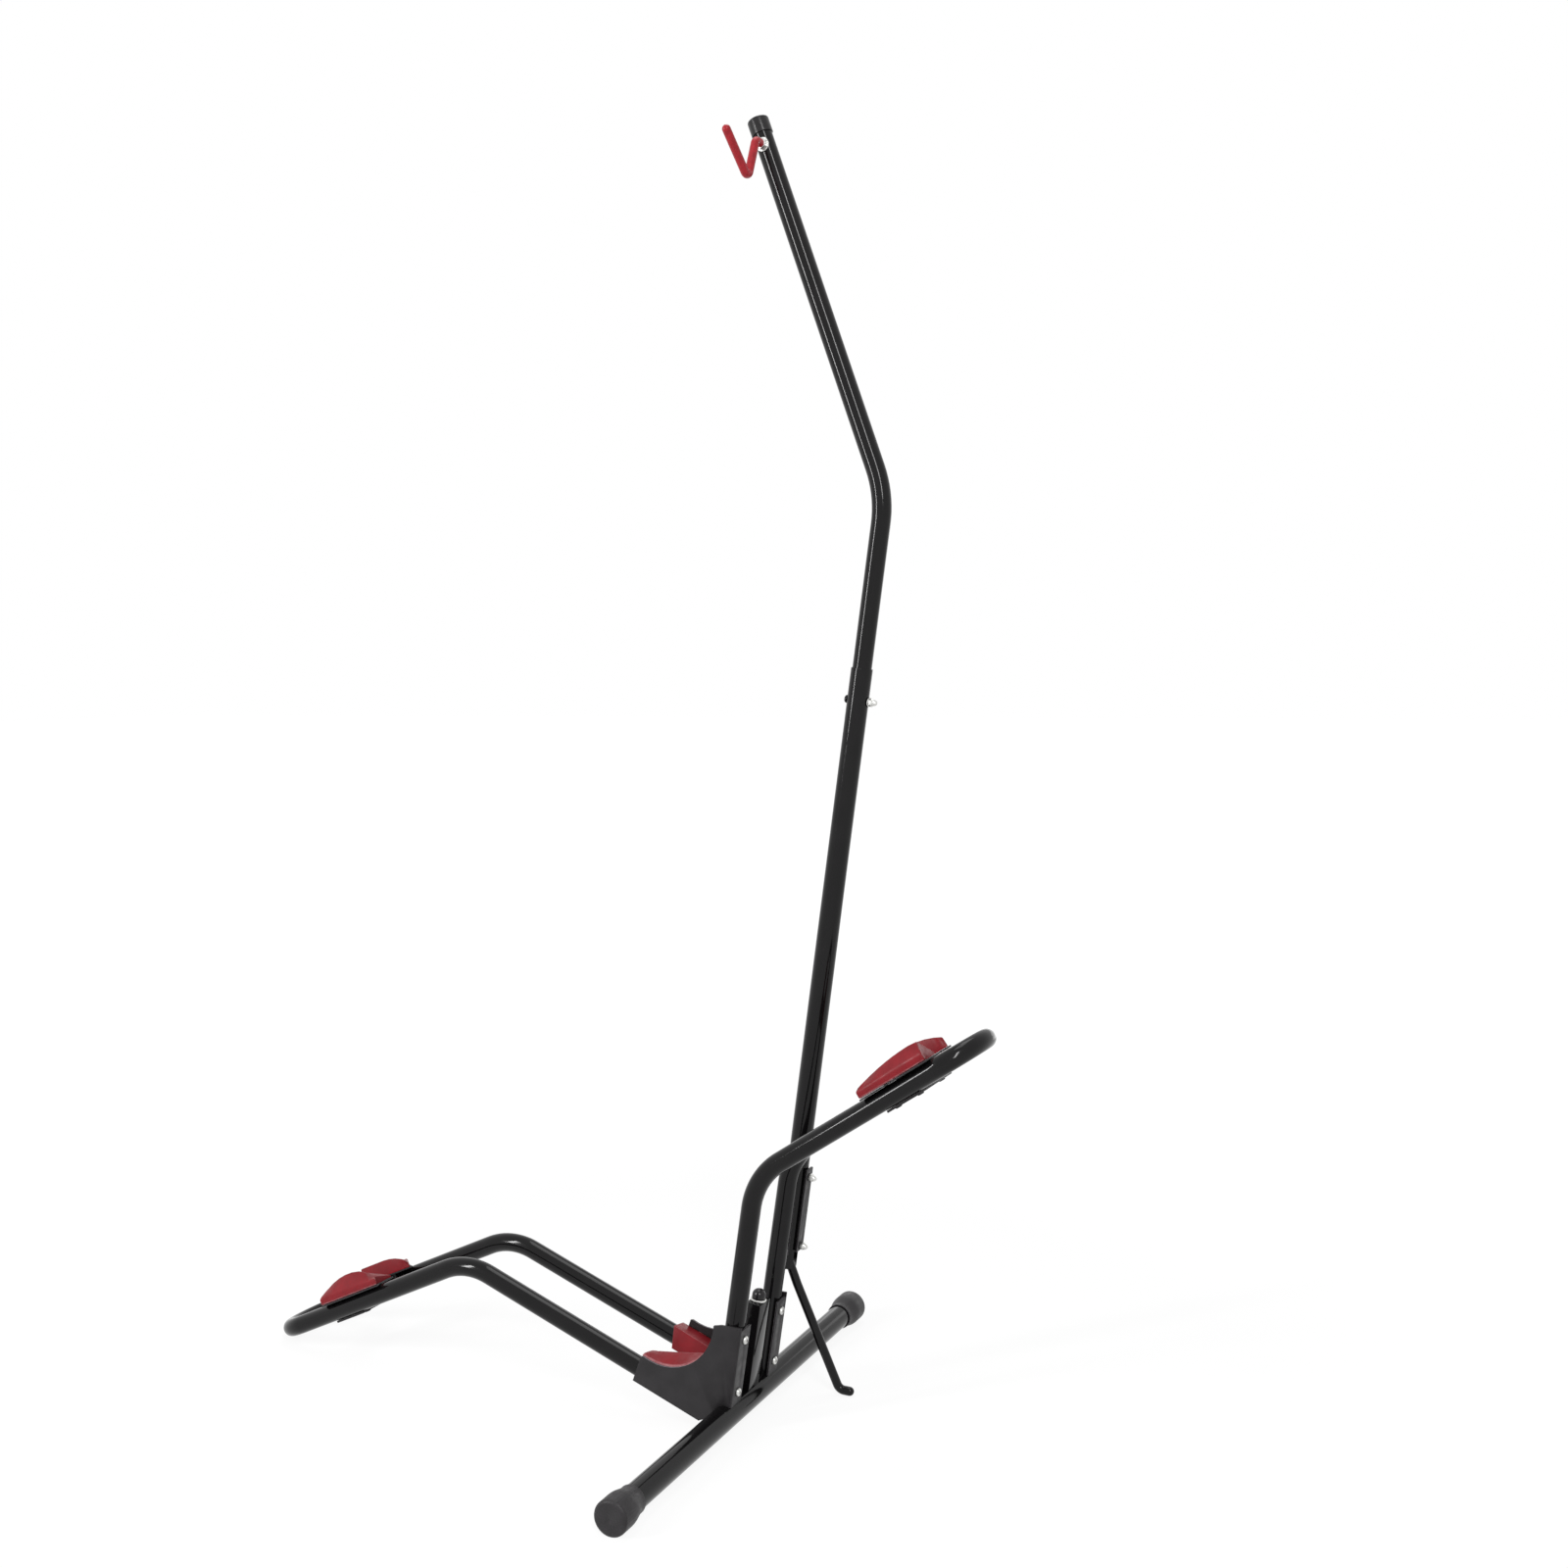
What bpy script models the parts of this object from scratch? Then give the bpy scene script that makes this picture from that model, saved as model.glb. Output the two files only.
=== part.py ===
"""Vertical bike stand: two bent hoops, a crossbar, a telescoping mast with a hook and a kickstand.

Frame: +Z up, Y along the crossbar, +X towards the kickstand. Lengths in metres, angles in degrees.
The stand is drawn around the crossbar's middle and then moved along X, so that the origin is the
middle of the floor rectangle that it covers.
"""
import math

import bmesh
import bpy
from mathutils import Matrix, Vector

# Clearances
GAP = 0.0003
HOLE_GAP = 0.0003
SLIDE_GAP = 0.0004

# Hoops
HOOP_TUBE = 0.0254
HOOP_WALL = 0.0015
HOOP_HALF_WIDTH = 0.055
HOOP_BEND_RADIUS = 0.092
HOOP_U_RADIUS = 0.0545
HEEL_DEPTH = 0.002
LOWER_CORNER_REACH = 0.3983
LOWER_TIP_LENGTH = 0.367
LOWER_TIP_ANGLE = 24.62
LOWER_LEG_AIM_DROP = 0.0104
UPPER_CORNER_HEIGHT = 0.3332
UPPER_LEG_LEAN = 8.87
UPPER_LEG_SETBACK = 0.0084
UPPER_TIP_LENGTH = 0.337
UPPER_TIP_ANGLE = 33.39

# Crossbar and its caps
BAR_TUBE = 0.0318
BAR_WALL = 0.0016
BAR_SPAN = 0.715
CAP_RADIUS = 0.0218
CAP_LENGTH = 0.052
CAP_END = 0.004
CAP_NECK_WALL = 0.0017
CAP_BARREL = 0.026
CAP_ROUNDING = 0.004
CAP_FLAT = 0.0005

# Cheek plates
CHEEK_PLATE = 0.0027
CHEEK_FRONT = -0.132
CHEEK_HORN_SETBACK = 0.0125
CHEEK_HORN_HEIGHT = 0.0822
CHEEK_TOE = -0.0367
CHEEK_TOP = 0.1412
CHEEK_SKIRT = 0.0125
VALLEY_RADIUS = 0.07
VALLEY_X = -0.083
VALLEY_Z = 0.1444
VALLEY_START = -28.4
VALLEY_END = 85.6
FLANGE_PLATE = 0.0025
FLANGE_WIDTH = 0.027
FLANGE_FOOT = 0.0308
CHEEK_BOLT_HEIGHTS = {"low": 0.0537, "high": 0.1231}

# Bolts
BOLT = 0.006
BOLT_HEAD = 0.011
BOLT_HEAD_HEIGHT = 0.0032
NUT_WIDTH = 0.01
NUT_HEIGHT = 0.005
BOLT_TAIL = 0.0015
DOME_NUT_HEIGHT = 0.0105
WASHER_WIDTH = 0.013
WASHER = 0.0015

# Pads on the hoops. Lengths run along the hoops' tips, heights are above the pad's base
PAD_WALL = 0.0097
PAD_TROUGH = 0.0024
PAD_OVERHANG = 0.0028
PAD_WIDTH = 0.044
PAD_STEPS = 8
LOWER_NEAR_PAD = {
    "ridge": (-0.255, -0.158), "wall": (-0.256, -0.147), "ridge_inset": 0.0125,
    "peak": 0.029, "peak_at": 0.55, "front_fall": 0.016, "rear_fall": 0.019, "rear_power": 2.5}
LOWER_FAR_PAD = {
    "ridge": (-0.256, -0.168), "wall": (-0.256, -0.203), "ridge_inset": 0.0405,
    "peak": 0.022, "peak_at": 0.4, "front_fall": 0.0, "rear_fall": 0.0143, "rear_power": 2.7}
UPPER_NEAR_PAD = {
    "ridge": (0.19, 0.2845), "wall": (0.186, 0.288), "ridge_inset": 0.0125,
    "peak": 0.0258, "peak_at": 0.9, "front_fall": 0.0121, "rear_fall": 0.0011, "rear_power": 2.0}
UPPER_FAR_PAD = {
    "ridge": (0.186, 0.2805), "wall": (0.186, 0.263), "ridge_inset": 0.0405,
    "peak": 0.026, "peak_at": 0.5, "front_fall": 0.0125, "rear_fall": 0.0126, "rear_power": 2.0}
BACKING_PLATE = 0.002
BACKING_LUG = 0.004
LOWER_CLAMP_AT = -0.2256
UPPER_CLAMP_AT = 0.2295
CLAMP_PLATE = 0.003
CLAMP_PLATE_LENGTH = 0.05
CLAMP_PLATE_HALF_WIDTH = 0.058
PAD_SCREW = 0.005
PAD_SCREW_HEAD = 0.009
PAD_SCREW_HEAD_HEIGHT = 0.0012
PAD_SCREW_SPREAD = 0.017
PAD_SCREW_DEPTH = 0.006
PAD_SCREW_CLEARANCE = 0.0014

# Pads in the valley
VALLEY_PAD_NEAR_FRONT = -0.1195
VALLEY_PAD_FAR_FRONT = -0.131
VALLEY_PAD_REAR = -0.033
VALLEY_PAD_INNER = 0.034
VALLEY_PAD_SKIN = 0.008
VALLEY_PAD_FAR_SKIN = 0.006
VALLEY_PAD_LIP = 0.0015
VALLEY_PAD_FRONT_RIDGE = 0.0805
VALLEY_PAD_REAR_RIDGE = 0.091

# Post between the upright legs
POST_WIDTH = 0.03
POST_DEPTH = 0.02
POST_WALL = 0.002
POST_TOP = 0.153
POST_SETBACK = 0.004
COLLAR_RADIUS = 0.0105
COLLAR_HEIGHT = 0.003
KNOB_RADIUS = 0.009
KNOB_HEIGHT = 0.0125

# Mast
MAST_TUBE = 0.0286
MAST_WALL = 0.0012
MAST_INNER_TUBE = MAST_TUBE - 2 * (MAST_WALL + SLIDE_GAP)
MAST_INNER_WALL = 0.0012
MAST_LEAN = 8.31
MAST_SIDE_GAP = 0.0018
MAST_SETBACK = 0.001
BRACKET_HEIGHT = 0.2446
MAST_BOTTOM = -0.0727
MAST_JOINT = 0.731
MAST_OVERLAP = 0.2
MAST_BEND_AT = 0.952
MAST_BEND_ANGLE = 27.74
MAST_BEND_RADIUS = 0.15
MAST_HEAD_LENGTH = 0.518
MAST_TRAVEL_UP = 0.1
MAST_TRAVEL_DOWN = 0.02
CLAMP_AT = 0.6896
SLOT_END = 0.003

# Mast bracket and strip
BRACKET_PLATE = 0.003
BRACKET_BELOW = 0.055
BRACKET_ABOVE = 0.068
BRACKET_EDGE = 0.0155
BRACKET_WEB_REACH = 0.008
STRIP_PLATE = 0.003
STRIP_WIDTH = 0.02
STRIP_BELOW = 0.0475
STRIP_ABOVE = 0.066
MAST_BOLTS_AT = {"low": -0.0405, "high": 0.0545}

# Cap of the mast
MAST_CAP_LENGTH = 0.022
MAST_CAP_WALL = 0.0012
MAST_CAP_TOP = 0.003

# Hook
HOOK_BELOW_TOP = 0.0392
HOOK_AT = MAST_HEAD_LENGTH - HOOK_BELOW_TOP
HOOK_ROD = 0.011
HOOK_STUD = 0.008
HOOK_STICKOUT = 0.0335
HOOK_DROP = 0.0535
HOOK_DIP = 0.058
HOOK_TIP_OUT = 0.117
HOOK_TIP_DROP = 0.009
HOOK_BEND_RADIUS = 0.0085
HOOK_NUT_WIDTH = 0.013
HOOK_NUT_HEIGHT = 0.0055
HOOK_WASHER_WIDTH = 0.018
HOOK_STUD_TAIL = 0.003

# Kickstand
KICK_ROD = 0.012
KICK_PIN_AT = -0.0575
KICK_PIN = 0.006
KICK_PIN_HEAD = 0.0012
KICK_PIN_HEAD_WIDTH = 0.01
KICK_STRAIGHT_DROP = 0.038
KICK_STRAIGHT_REACH = 0.0145
KICK_REACH = 0.0674
KICK_SPLAY = 0.017
KICK_HEEL_HEIGHT = 0.0066
KICK_FOOT = 0.015
KICK_BEND_RADIUS = 0.011
KICK_SLOT_RISE = 0.0085
BUSH_WALL = 0.002

# How finely the round shapes are drawn
TUBE_SIDES = 16
CAP_SIDES = 24
SMALL_SIDES = 12
BEND_STEP = 9.0
SHARP_ANGLE = 35.0

# Sizes that follow from the ones above
HOOP_RADIUS = HOOP_TUBE / 2
BAR_RADIUS = BAR_TUBE / 2
BAR_HEIGHT = CAP_RADIUS - CAP_FLAT
MAST_RADIUS = MAST_TUBE / 2
MAST_INNER_RADIUS = MAST_INNER_TUBE / 2
MAST_Y = HOOP_HALF_WIDTH + HOOP_RADIUS + MAST_SIDE_GAP + MAST_RADIUS
CHEEK_INNER = HOOP_HALF_WIDTH + HOOP_RADIUS + GAP
CHEEK_OUTER = CHEEK_INNER + CHEEK_PLATE
BOLT_HOLE = BOLT + 2 * HOLE_GAP

BLACK_ENAMEL = ("black_enamel", (0.022, 0.021, 0.022), 0.28, 0.0)
DARK_PLATE = ("dark_plate", (0.045, 0.043, 0.045), 0.5, 0.0)
DARK_PLASTIC = ("dark_plastic", (0.04, 0.038, 0.04), 0.55, 0.0)
GLOSS_PLASTIC = ("gloss_plastic", (0.02, 0.02, 0.02), 0.2, 0.0)
BLACK_SCREW = ("black_screw", (0.02, 0.02, 0.02), 0.4, 0.0)
RED_PAD = ("red_pad", (0.40, 0.014, 0.025), 0.4, 0.0)
RED_COATING = ("red_coating", (0.52, 0.012, 0.016), 0.35, 0.0)
BRIGHT_STEEL = ("bright_steel", (0.62, 0.62, 0.61), 0.28, 1.0)


def clear_scene():
    for thing in list(bpy.data.objects):
        bpy.data.objects.remove(thing, do_unlink=True)


def paint(look):
    """The material of one finish, made once."""
    name, colour, roughness, metallic = look
    material = bpy.data.materials.get(name)
    if material is None:
        material = bpy.data.materials.new(name)
        material.use_nodes = True
        shader = material.node_tree.nodes["Principled BSDF"]
        shader.inputs["Base Color"].default_value = (*colour, 1.0)
        shader.inputs["Roughness"].default_value = roughness
        shader.inputs["Metallic"].default_value = metallic
        material.diffuse_color = (*colour, 1.0)
    return material


def empty(name, parent, at=(0, 0, 0), turn=0.0):
    """A frame: placed in its parent and turned about Y by turn degrees."""
    frame = bpy.data.objects.new(name, None)
    bpy.context.scene.collection.objects.link(frame)
    frame.parent = parent
    frame.location = at
    frame.rotation_euler = (0.0, math.radians(turn), 0.0)
    return frame


def put(name, bm, look, parent, at=(0, 0, 0)):
    """Turns a bmesh into a named, smooth shaded object under its parent."""
    bmesh.ops.recalc_face_normals(bm, faces=bm.faces)
    mesh = bpy.data.meshes.new(name)
    bm.to_mesh(mesh)
    bm.free()
    mesh.shade_smooth()
    mesh.set_sharp_from_angle(angle=math.radians(SHARP_ANGLE))
    mesh.materials.append(paint(look))
    piece = bpy.data.objects.new(name, mesh)
    bpy.context.scene.collection.objects.link(piece)
    piece.parent = parent
    piece.location = at
    return piece


def guide(name, bm, parent, at=(0, 0, 0)):
    """An object that only shapes others: a cutter, or a piece that a union takes in."""
    tool = put(name, bm, DARK_PLATE, parent, at)
    tool.hide_render = True
    tool.display_type = "WIRE"
    return tool


def combine(piece, tools, operation="DIFFERENCE"):
    for tool in tools:
        step = piece.modifiers.new(tool.name, "BOOLEAN")
        step.operation = operation
        step.solver = "EXACT"
        step.object = tool


def disc(bm, radius, sides, turn=0.0):
    matrix = Matrix.Rotation(turn, 4, "Z")
    made = bmesh.ops.create_circle(bm, cap_ends=True, radius=radius, segments=sides, matrix=matrix)
    return list({face for vert in made["verts"] for face in vert.link_faces})


def annulus(bm, radius, inner, sides):
    """A flat ring between two circles."""
    edges = []
    for size in (radius, inner):
        made = bmesh.ops.create_circle(bm, cap_ends=False, radius=size, segments=sides)
        edges += {edge for vert in made["verts"] for edge in vert.link_edges}
    return bmesh.ops.bridge_loops(bm, edges=edges)["faces"]


def sweep(bm, faces, frames):
    """Drags the flat faces, drawn on XY, through a row of frames."""
    verts = list({vert for face in faces for vert in face.verts})
    bmesh.ops.transform(bm, matrix=frames[0], verts=verts)
    for last, following in zip(frames, frames[1:]):
        first = last is frames[0]
        made = bmesh.ops.extrude_face_region(bm, geom=faces, use_keep_orig=first)["geom"]
        if not first:
            bmesh.ops.delete(bm, geom=[face for face in faces if face.is_valid], context="FACES_ONLY")
        faces = [item for item in made if isinstance(item, bmesh.types.BMFace)]
        verts = [item for item in made if isinstance(item, bmesh.types.BMVert)]
        bmesh.ops.transform(bm, matrix=following @ last.inverted(), verts=verts)


def bent_path(corners, radii):
    """Points and directions along straight runs whose corners are rounded off."""
    corners = [Vector(corner) for corner in corners]
    stations = [(corners[0], (corners[1] - corners[0]).normalized())]
    for before, corner, after, radius in zip(corners, corners[1:], corners[2:], radii):
        into = (corner - before).normalized()
        out = (after - corner).normalized()
        angle = into.angle(out)
        start = corner - into * (radius * math.tan(angle / 2))
        side = (out - into * into.dot(out)).normalized()
        steps = max(2, round(math.degrees(angle) / BEND_STEP))
        for step in range(steps + 1):
            turned = angle * step / steps
            place = start + into * (radius * math.sin(turned)) + side * (radius * (1 - math.cos(turned)))
            heading = into * math.cos(turned) + side * math.sin(turned)
            if (place - stations[-1][0]).length > 0.0005:
                stations.append((place, heading))
    stations.append((corners[-1], (corners[-1] - corners[-2]).normalized()))
    return stations


def path_frames(stations, sizes=None):
    """A frame at each station, Z along the path, each turned as little as possible from the last."""
    frames = []
    across = stations[0][1].orthogonal().normalized()
    if abs(stations[0][1].y) < 0.5:
        across = Vector((0.0, 1.0, 0.0))
    for index, (place, heading) in enumerate(stations):
        across = (across - heading * across.dot(heading)).normalized()
        third = heading.cross(across)
        size = sizes[index] if sizes else 1.0
        turn = Matrix((across * size, third * size, heading * size)).transposed().to_4x4()
        frames.append(Matrix.Translation(place) @ turn)
    return frames


def round_end(stations, radius, at_start):
    """Extra stations, with sizes, that close a rod's end in a dome instead of a flat face."""
    place, heading = stations[0] if at_start else stations[-1]
    outwards = -heading if at_start else heading
    extra = []
    for degrees in (30, 60, 80):
        angle = math.radians(degrees)
        extra.append(((place + outwards * (radius * math.sin(angle)), heading), math.cos(angle)))
    return extra[::-1] if at_start else extra


def tube(name, corners, radii, diameter, wall, look, parent, at=(0, 0, 0)):
    bm = bmesh.new()
    faces = annulus(bm, diameter / 2, diameter / 2 - wall, TUBE_SIDES)
    sweep(bm, faces, path_frames(bent_path(corners, radii)))
    return put(name, bm, look, parent, at)


def bar_tool(name, start, end, diameter, parent, sides=SMALL_SIDES, turn=math.pi / SMALL_SIDES):
    """A round cutter. It is turned so that a hole's corners miss the edges of the tube that it cuts."""
    heading = (Vector(end) - Vector(start)).normalized()
    stations = [(Vector(start), heading), (Vector(end), heading)]
    bm = bmesh.new()
    sweep(bm, disc(bm, diameter / 2, sides, turn), path_frames(stations))
    return guide(name, bm, parent)


def box_bm(bm, low, high):
    """Adds a box between two corners."""
    middle = [(a + b) / 2 for a, b in zip(low, high)]
    size = [b - a for a, b in zip(low, high)]
    place = Matrix.Translation(middle) @ Matrix.Diagonal((*size, 1.0))
    bmesh.ops.create_cube(bm, size=1.0, matrix=place)


def box(name, low, high, look, parent, at=(0, 0, 0)):
    bm = bmesh.new()
    box_bm(bm, low, high)
    return put(name, bm, look, parent, at)


def prism(bm, outline, low, high):
    """Adds an outline drawn on XZ, stretched along Y from low to high."""
    verts = [bm.verts.new((x, low, z)) for x, z in outline]
    face = bm.faces.new(verts)
    made = bmesh.ops.extrude_face_region(bm, geom=[face], use_keep_orig=True)["geom"]
    verts = [item for item in made if isinstance(item, bmesh.types.BMVert)]
    bmesh.ops.translate(bm, verts=verts, vec=(0.0, high - low, 0.0))


def loft(bm, outlines, caps=None):
    """Skins a row of outlines with as many points each. The ends close with one face or with caps."""
    rings = [[bm.verts.new(point) for point in outline] for outline in outlines]
    count = len(rings[0])
    for last, following in zip(rings, rings[1:]):
        for index in range(count):
            after = (index + 1) % count
            bm.faces.new((last[index], last[after], following[after], following[index]))
    for ring in (rings[0], rings[-1]):
        for cap in caps or (range(count),):
            bm.faces.new([ring[index] for index in cap])


def turned_bm(profile, sides):
    """A turned shape: radius and height pairs, spun about Z."""
    bm = bmesh.new()
    verts = [bm.verts.new((radius, 0.0, height)) for radius, height in profile]
    pairs = list(zip(verts, verts[1:]))
    if min(radius for radius, height in profile) > 0.0:
        pairs.append((verts[-1], verts[0]))
    edges = [bm.edges.new(pair) for pair in pairs]
    bmesh.ops.spin(bm, geom=verts + edges, cent=(0, 0, 0), axis=(0, 0, 1), dvec=(0, 0, 0),
                   angle=math.tau, steps=sides, use_merge=True, use_duplicate=False)
    bmesh.ops.remove_doubles(bm, verts=bm.verts, dist=0.00001)
    return bm


def face_along(piece, direction):
    """Turns a piece so that its Z looks along a direction."""
    piece.rotation_euler = Vector(direction).to_track_quat("Z", "Y").to_euler()
    return piece


def turned(name, profile, look, parent, at, direction, sides=SMALL_SIDES):
    return face_along(put(name, turned_bm(profile, sides), look, parent, at), direction)


def bolt_profile(shank, head, head_height, length):
    """Dome head that sits on height 0, with its shank going down."""
    return [(0.0, head_height), (head * 0.24, head_height * 0.85), (head * 0.42, head_height * 0.5),
            (head / 2, 0.0), (shank / 2, 0.0), (shank / 2, -length), (0.0, -length)]


def nut(name, width, bore, height, look, parent, at, direction, dome=False):
    """A six sided nut on its seat, closed by a dome where it is a cap nut."""
    radius = width / math.sqrt(3)
    hole = bore / 2
    profile = [(hole, 0.0), (radius, 0.0), (radius, height), (hole, height)]
    if dome:
        base = height * 0.42
        profile = [(0.0, height * 0.7), (hole, height * 0.62), (hole, 0.0), (radius, 0.0),
                   (radius, base), (width * 0.44, base), (width * 0.36, height * 0.78),
                   (width * 0.2, height * 0.95), (0.0, height)]
    bm = turned_bm(profile, SMALL_SIDES)
    for vert in bm.verts:
        if vert.co.xy.length > radius * 0.99:
            off_flat = math.atan2(vert.co.y, vert.co.x) % (math.pi / 3) - math.pi / 6
            vert.co.xy *= math.cos(math.pi / 6) / math.cos(off_flat)
    return face_along(put(name, bm, look, parent, at), direction)


def washer_profile(width, hole, thickness):
    return [(hole / 2, 0.0), (width / 2, 0.0), (width / 2, thickness), (hole / 2, thickness)]


def upper_leg_x(height):
    """Where the upright leg's axis is at a height."""
    return -UPPER_LEG_SETBACK + math.tan(math.radians(UPPER_LEG_LEAN)) * (height - BAR_HEIGHT)


def lower_corner():
    """The bend of the lower hoop, set so that the hoop's tip rests on the floor."""
    rise = LOWER_TIP_LENGTH * math.sin(math.radians(LOWER_TIP_ANGLE))
    return -LOWER_CORNER_REACH, HOOP_RADIUS + rise


def lower_leg_z(x):
    """How high the lower leg's axis is."""
    corner_x, corner_z = lower_corner()
    aim_z = BAR_HEIGHT - LOWER_LEG_AIM_DROP
    return corner_z + (aim_z - corner_z) * (x - corner_x) / -corner_x


def lower_leg_slope():
    corner_x, corner_z = lower_corner()
    return math.atan2(corner_z - BAR_HEIGHT + LOWER_LEG_AIM_DROP, -corner_x)


def hoop(name, heel, corner, tip, parent):
    """A U of tube: two equal legs, each with one bend, joined by a round tip."""
    near = [(x, -HOOP_HALF_WIDTH, z) for x, z in (heel, corner, tip)]
    far = [(x, HOOP_HALF_WIDTH, z) for x, z in (tip, corner, heel)]
    radii = (HOOP_BEND_RADIUS, HOOP_U_RADIUS, HOOP_U_RADIUS, HOOP_BEND_RADIUS)
    return tube(name, near + far, radii, HOOP_TUBE, HOOP_WALL, BLACK_ENAMEL, parent)


def make_hoops(stand, bar_room):
    slope = lower_leg_slope()
    corner = lower_corner()
    tip_angle = math.radians(LOWER_TIP_ANGLE)
    tip = (corner[0] - LOWER_TIP_LENGTH * math.cos(tip_angle), HOOP_RADIUS)
    heel_x = -(BAR_RADIUS + GAP) * math.cos(slope)
    lower = hoop("lower_hoop", (heel_x, lower_leg_z(heel_x)), corner, tip, stand)

    corner = (upper_leg_x(UPPER_CORNER_HEIGHT), UPPER_CORNER_HEIGHT)
    tip_angle = math.radians(UPPER_TIP_ANGLE)
    tip = (corner[0] + UPPER_TIP_LENGTH * math.cos(tip_angle),
           corner[1] + UPPER_TIP_LENGTH * math.sin(tip_angle))
    heel_z = BAR_HEIGHT + BAR_RADIUS - HEEL_DEPTH
    upper = hoop("upper_hoop", (upper_leg_x(heel_z), heel_z), corner, tip, stand)
    combine(lower, [bar_room])
    combine(upper, [bar_room])
    return upper


def make_crossbar(stand):
    half = BAR_SPAN / 2
    end = half - CAP_END - GAP
    tube("crossbar", [(0, -end, BAR_HEIGHT), (0, end, BAR_HEIGHT)], (), BAR_TUBE, BAR_WALL,
         BLACK_ENAMEL, stand)
    mouth = BAR_RADIUS + GAP
    neck = mouth + CAP_NECK_WALL
    flare = (CAP_RADIUS - neck) / 3
    profile = [(0.0, 0.0), (CAP_RADIUS * 0.8, 0.0), (CAP_RADIUS * 0.95, CAP_ROUNDING / 4),
               (CAP_RADIUS, CAP_ROUNDING), (CAP_RADIUS, CAP_BARREL),
               (neck + 2 * flare, CAP_BARREL + (CAP_LENGTH - CAP_BARREL) * 0.3),
               (neck + flare * 0.7, CAP_BARREL + (CAP_LENGTH - CAP_BARREL) * 0.6),
               (neck, CAP_LENGTH), (mouth, CAP_LENGTH), (mouth, CAP_END), (0.0, CAP_END)]
    bm = bmesh.new()
    box_bm(bm, (-0.05, -half - 0.01, -0.05), (0.05, half + 0.01, 0.0))
    floor = guide("floor_cut", bm, stand)
    for name, side in (("crossbar_cap_near", -1), ("crossbar_cap_far", 1)):
        cap = turned(name, profile, DARK_PLASTIC, stand, (0, side * half, BAR_HEIGHT), (0, -side, 0),
                     CAP_SIDES)
        combine(cap, [floor])


def cheek_outline():
    """Side view of a cheek plate, from its front foot over the valley to its rear edge."""
    skirt = CHEEK_SKIRT / math.cos(lower_leg_slope())
    outline = [(CHEEK_FRONT, lower_leg_z(CHEEK_FRONT) - skirt),
               (CHEEK_FRONT + CHEEK_HORN_SETBACK, CHEEK_HORN_HEIGHT)]
    steps = round((VALLEY_END - VALLEY_START) / BEND_STEP)
    for step in range(steps + 1):
        angle = math.radians(VALLEY_START + (VALLEY_END - VALLEY_START) * step / steps)
        outline.append((VALLEY_X + VALLEY_RADIUS * math.sin(angle),
                        VALLEY_Z - VALLEY_RADIUS * math.cos(angle)))
    rear = (HOOP_RADIUS + GAP + FLANGE_PLATE) / math.cos(math.radians(UPPER_LEG_LEAN))
    outline += [(upper_leg_x(CHEEK_TOP) - HOOP_RADIUS, CHEEK_TOP),
                (upper_leg_x(CHEEK_TOP) + rear, CHEEK_TOP),
                (upper_leg_x(FLANGE_FOOT) + rear, FLANGE_FOOT),
                (CHEEK_TOE, lower_leg_z(CHEEK_TOE) - skirt)]
    return outline


def leg_height(height):
    """Distance along the upright leg's frame for a height above the floor."""
    return (height - BAR_HEIGHT) / math.cos(math.radians(UPPER_LEG_LEAN))


def make_cheeks(stand, leg, upper_hoop, bar_room):
    front = -HOOP_RADIUS - GAP
    rear = HOOP_RADIUS + GAP
    reach = HOOP_RADIUS + 0.02
    holes = []
    length = rear + FLANGE_PLATE + GAP - front + GAP + NUT_HEIGHT + BOLT_TAIL
    for place, side in (("near", -1), ("far", 1)):
        name = "cheek_" + place
        bm = bmesh.new()
        prism(bm, cheek_outline(), side * CHEEK_INNER, side * CHEEK_OUTER)
        cheek = put(name, bm, DARK_PLATE, stand)
        inner = side * (CHEEK_OUTER - CHEEK_PLATE - FLANGE_WIDTH)
        edges = sorted((side * (CHEEK_INNER + CHEEK_PLATE / 2), inner))
        bm = bmesh.new()
        box_bm(bm, (rear, edges[0], leg_height(FLANGE_FOOT)),
               (rear + FLANGE_PLATE, edges[1], leg_height(CHEEK_TOP) - FLANGE_PLATE))
        combine(cheek, [guide(name + "_flange", bm, leg)], "UNION")
        own = []
        for level, height in CHEEK_BOLT_HEIGHTS.items():
            y = side * HOOP_HALF_WIDTH
            z = leg_height(height)
            own.append(bar_tool(f"{name}_hole_{level}", (-reach, y, z), (reach, y, z), BOLT_HOLE, leg))
            turned(f"cheek_bolt_{place}_{level}", bolt_profile(BOLT, BOLT_HEAD, BOLT_HEAD_HEIGHT, length),
                   BRIGHT_STEEL, leg, (rear + FLANGE_PLATE + GAP, y, z), (1, 0, 0))
            nut(f"cheek_nut_{place}_{level}", NUT_WIDTH, BOLT_HOLE, NUT_HEIGHT, BRIGHT_STEEL, leg,
                (front - GAP, y, z), (-1, 0, 0))
        combine(cheek, own + [bar_room])
        holes += own
    combine(upper_hoop, holes)


def valley_rim(x):
    """Height of the cheek's concave edge."""
    across = min(abs(x - VALLEY_X), VALLEY_RADIUS * 0.99)
    return VALLEY_Z - math.sqrt(VALLEY_RADIUS ** 2 - across ** 2)


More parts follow.
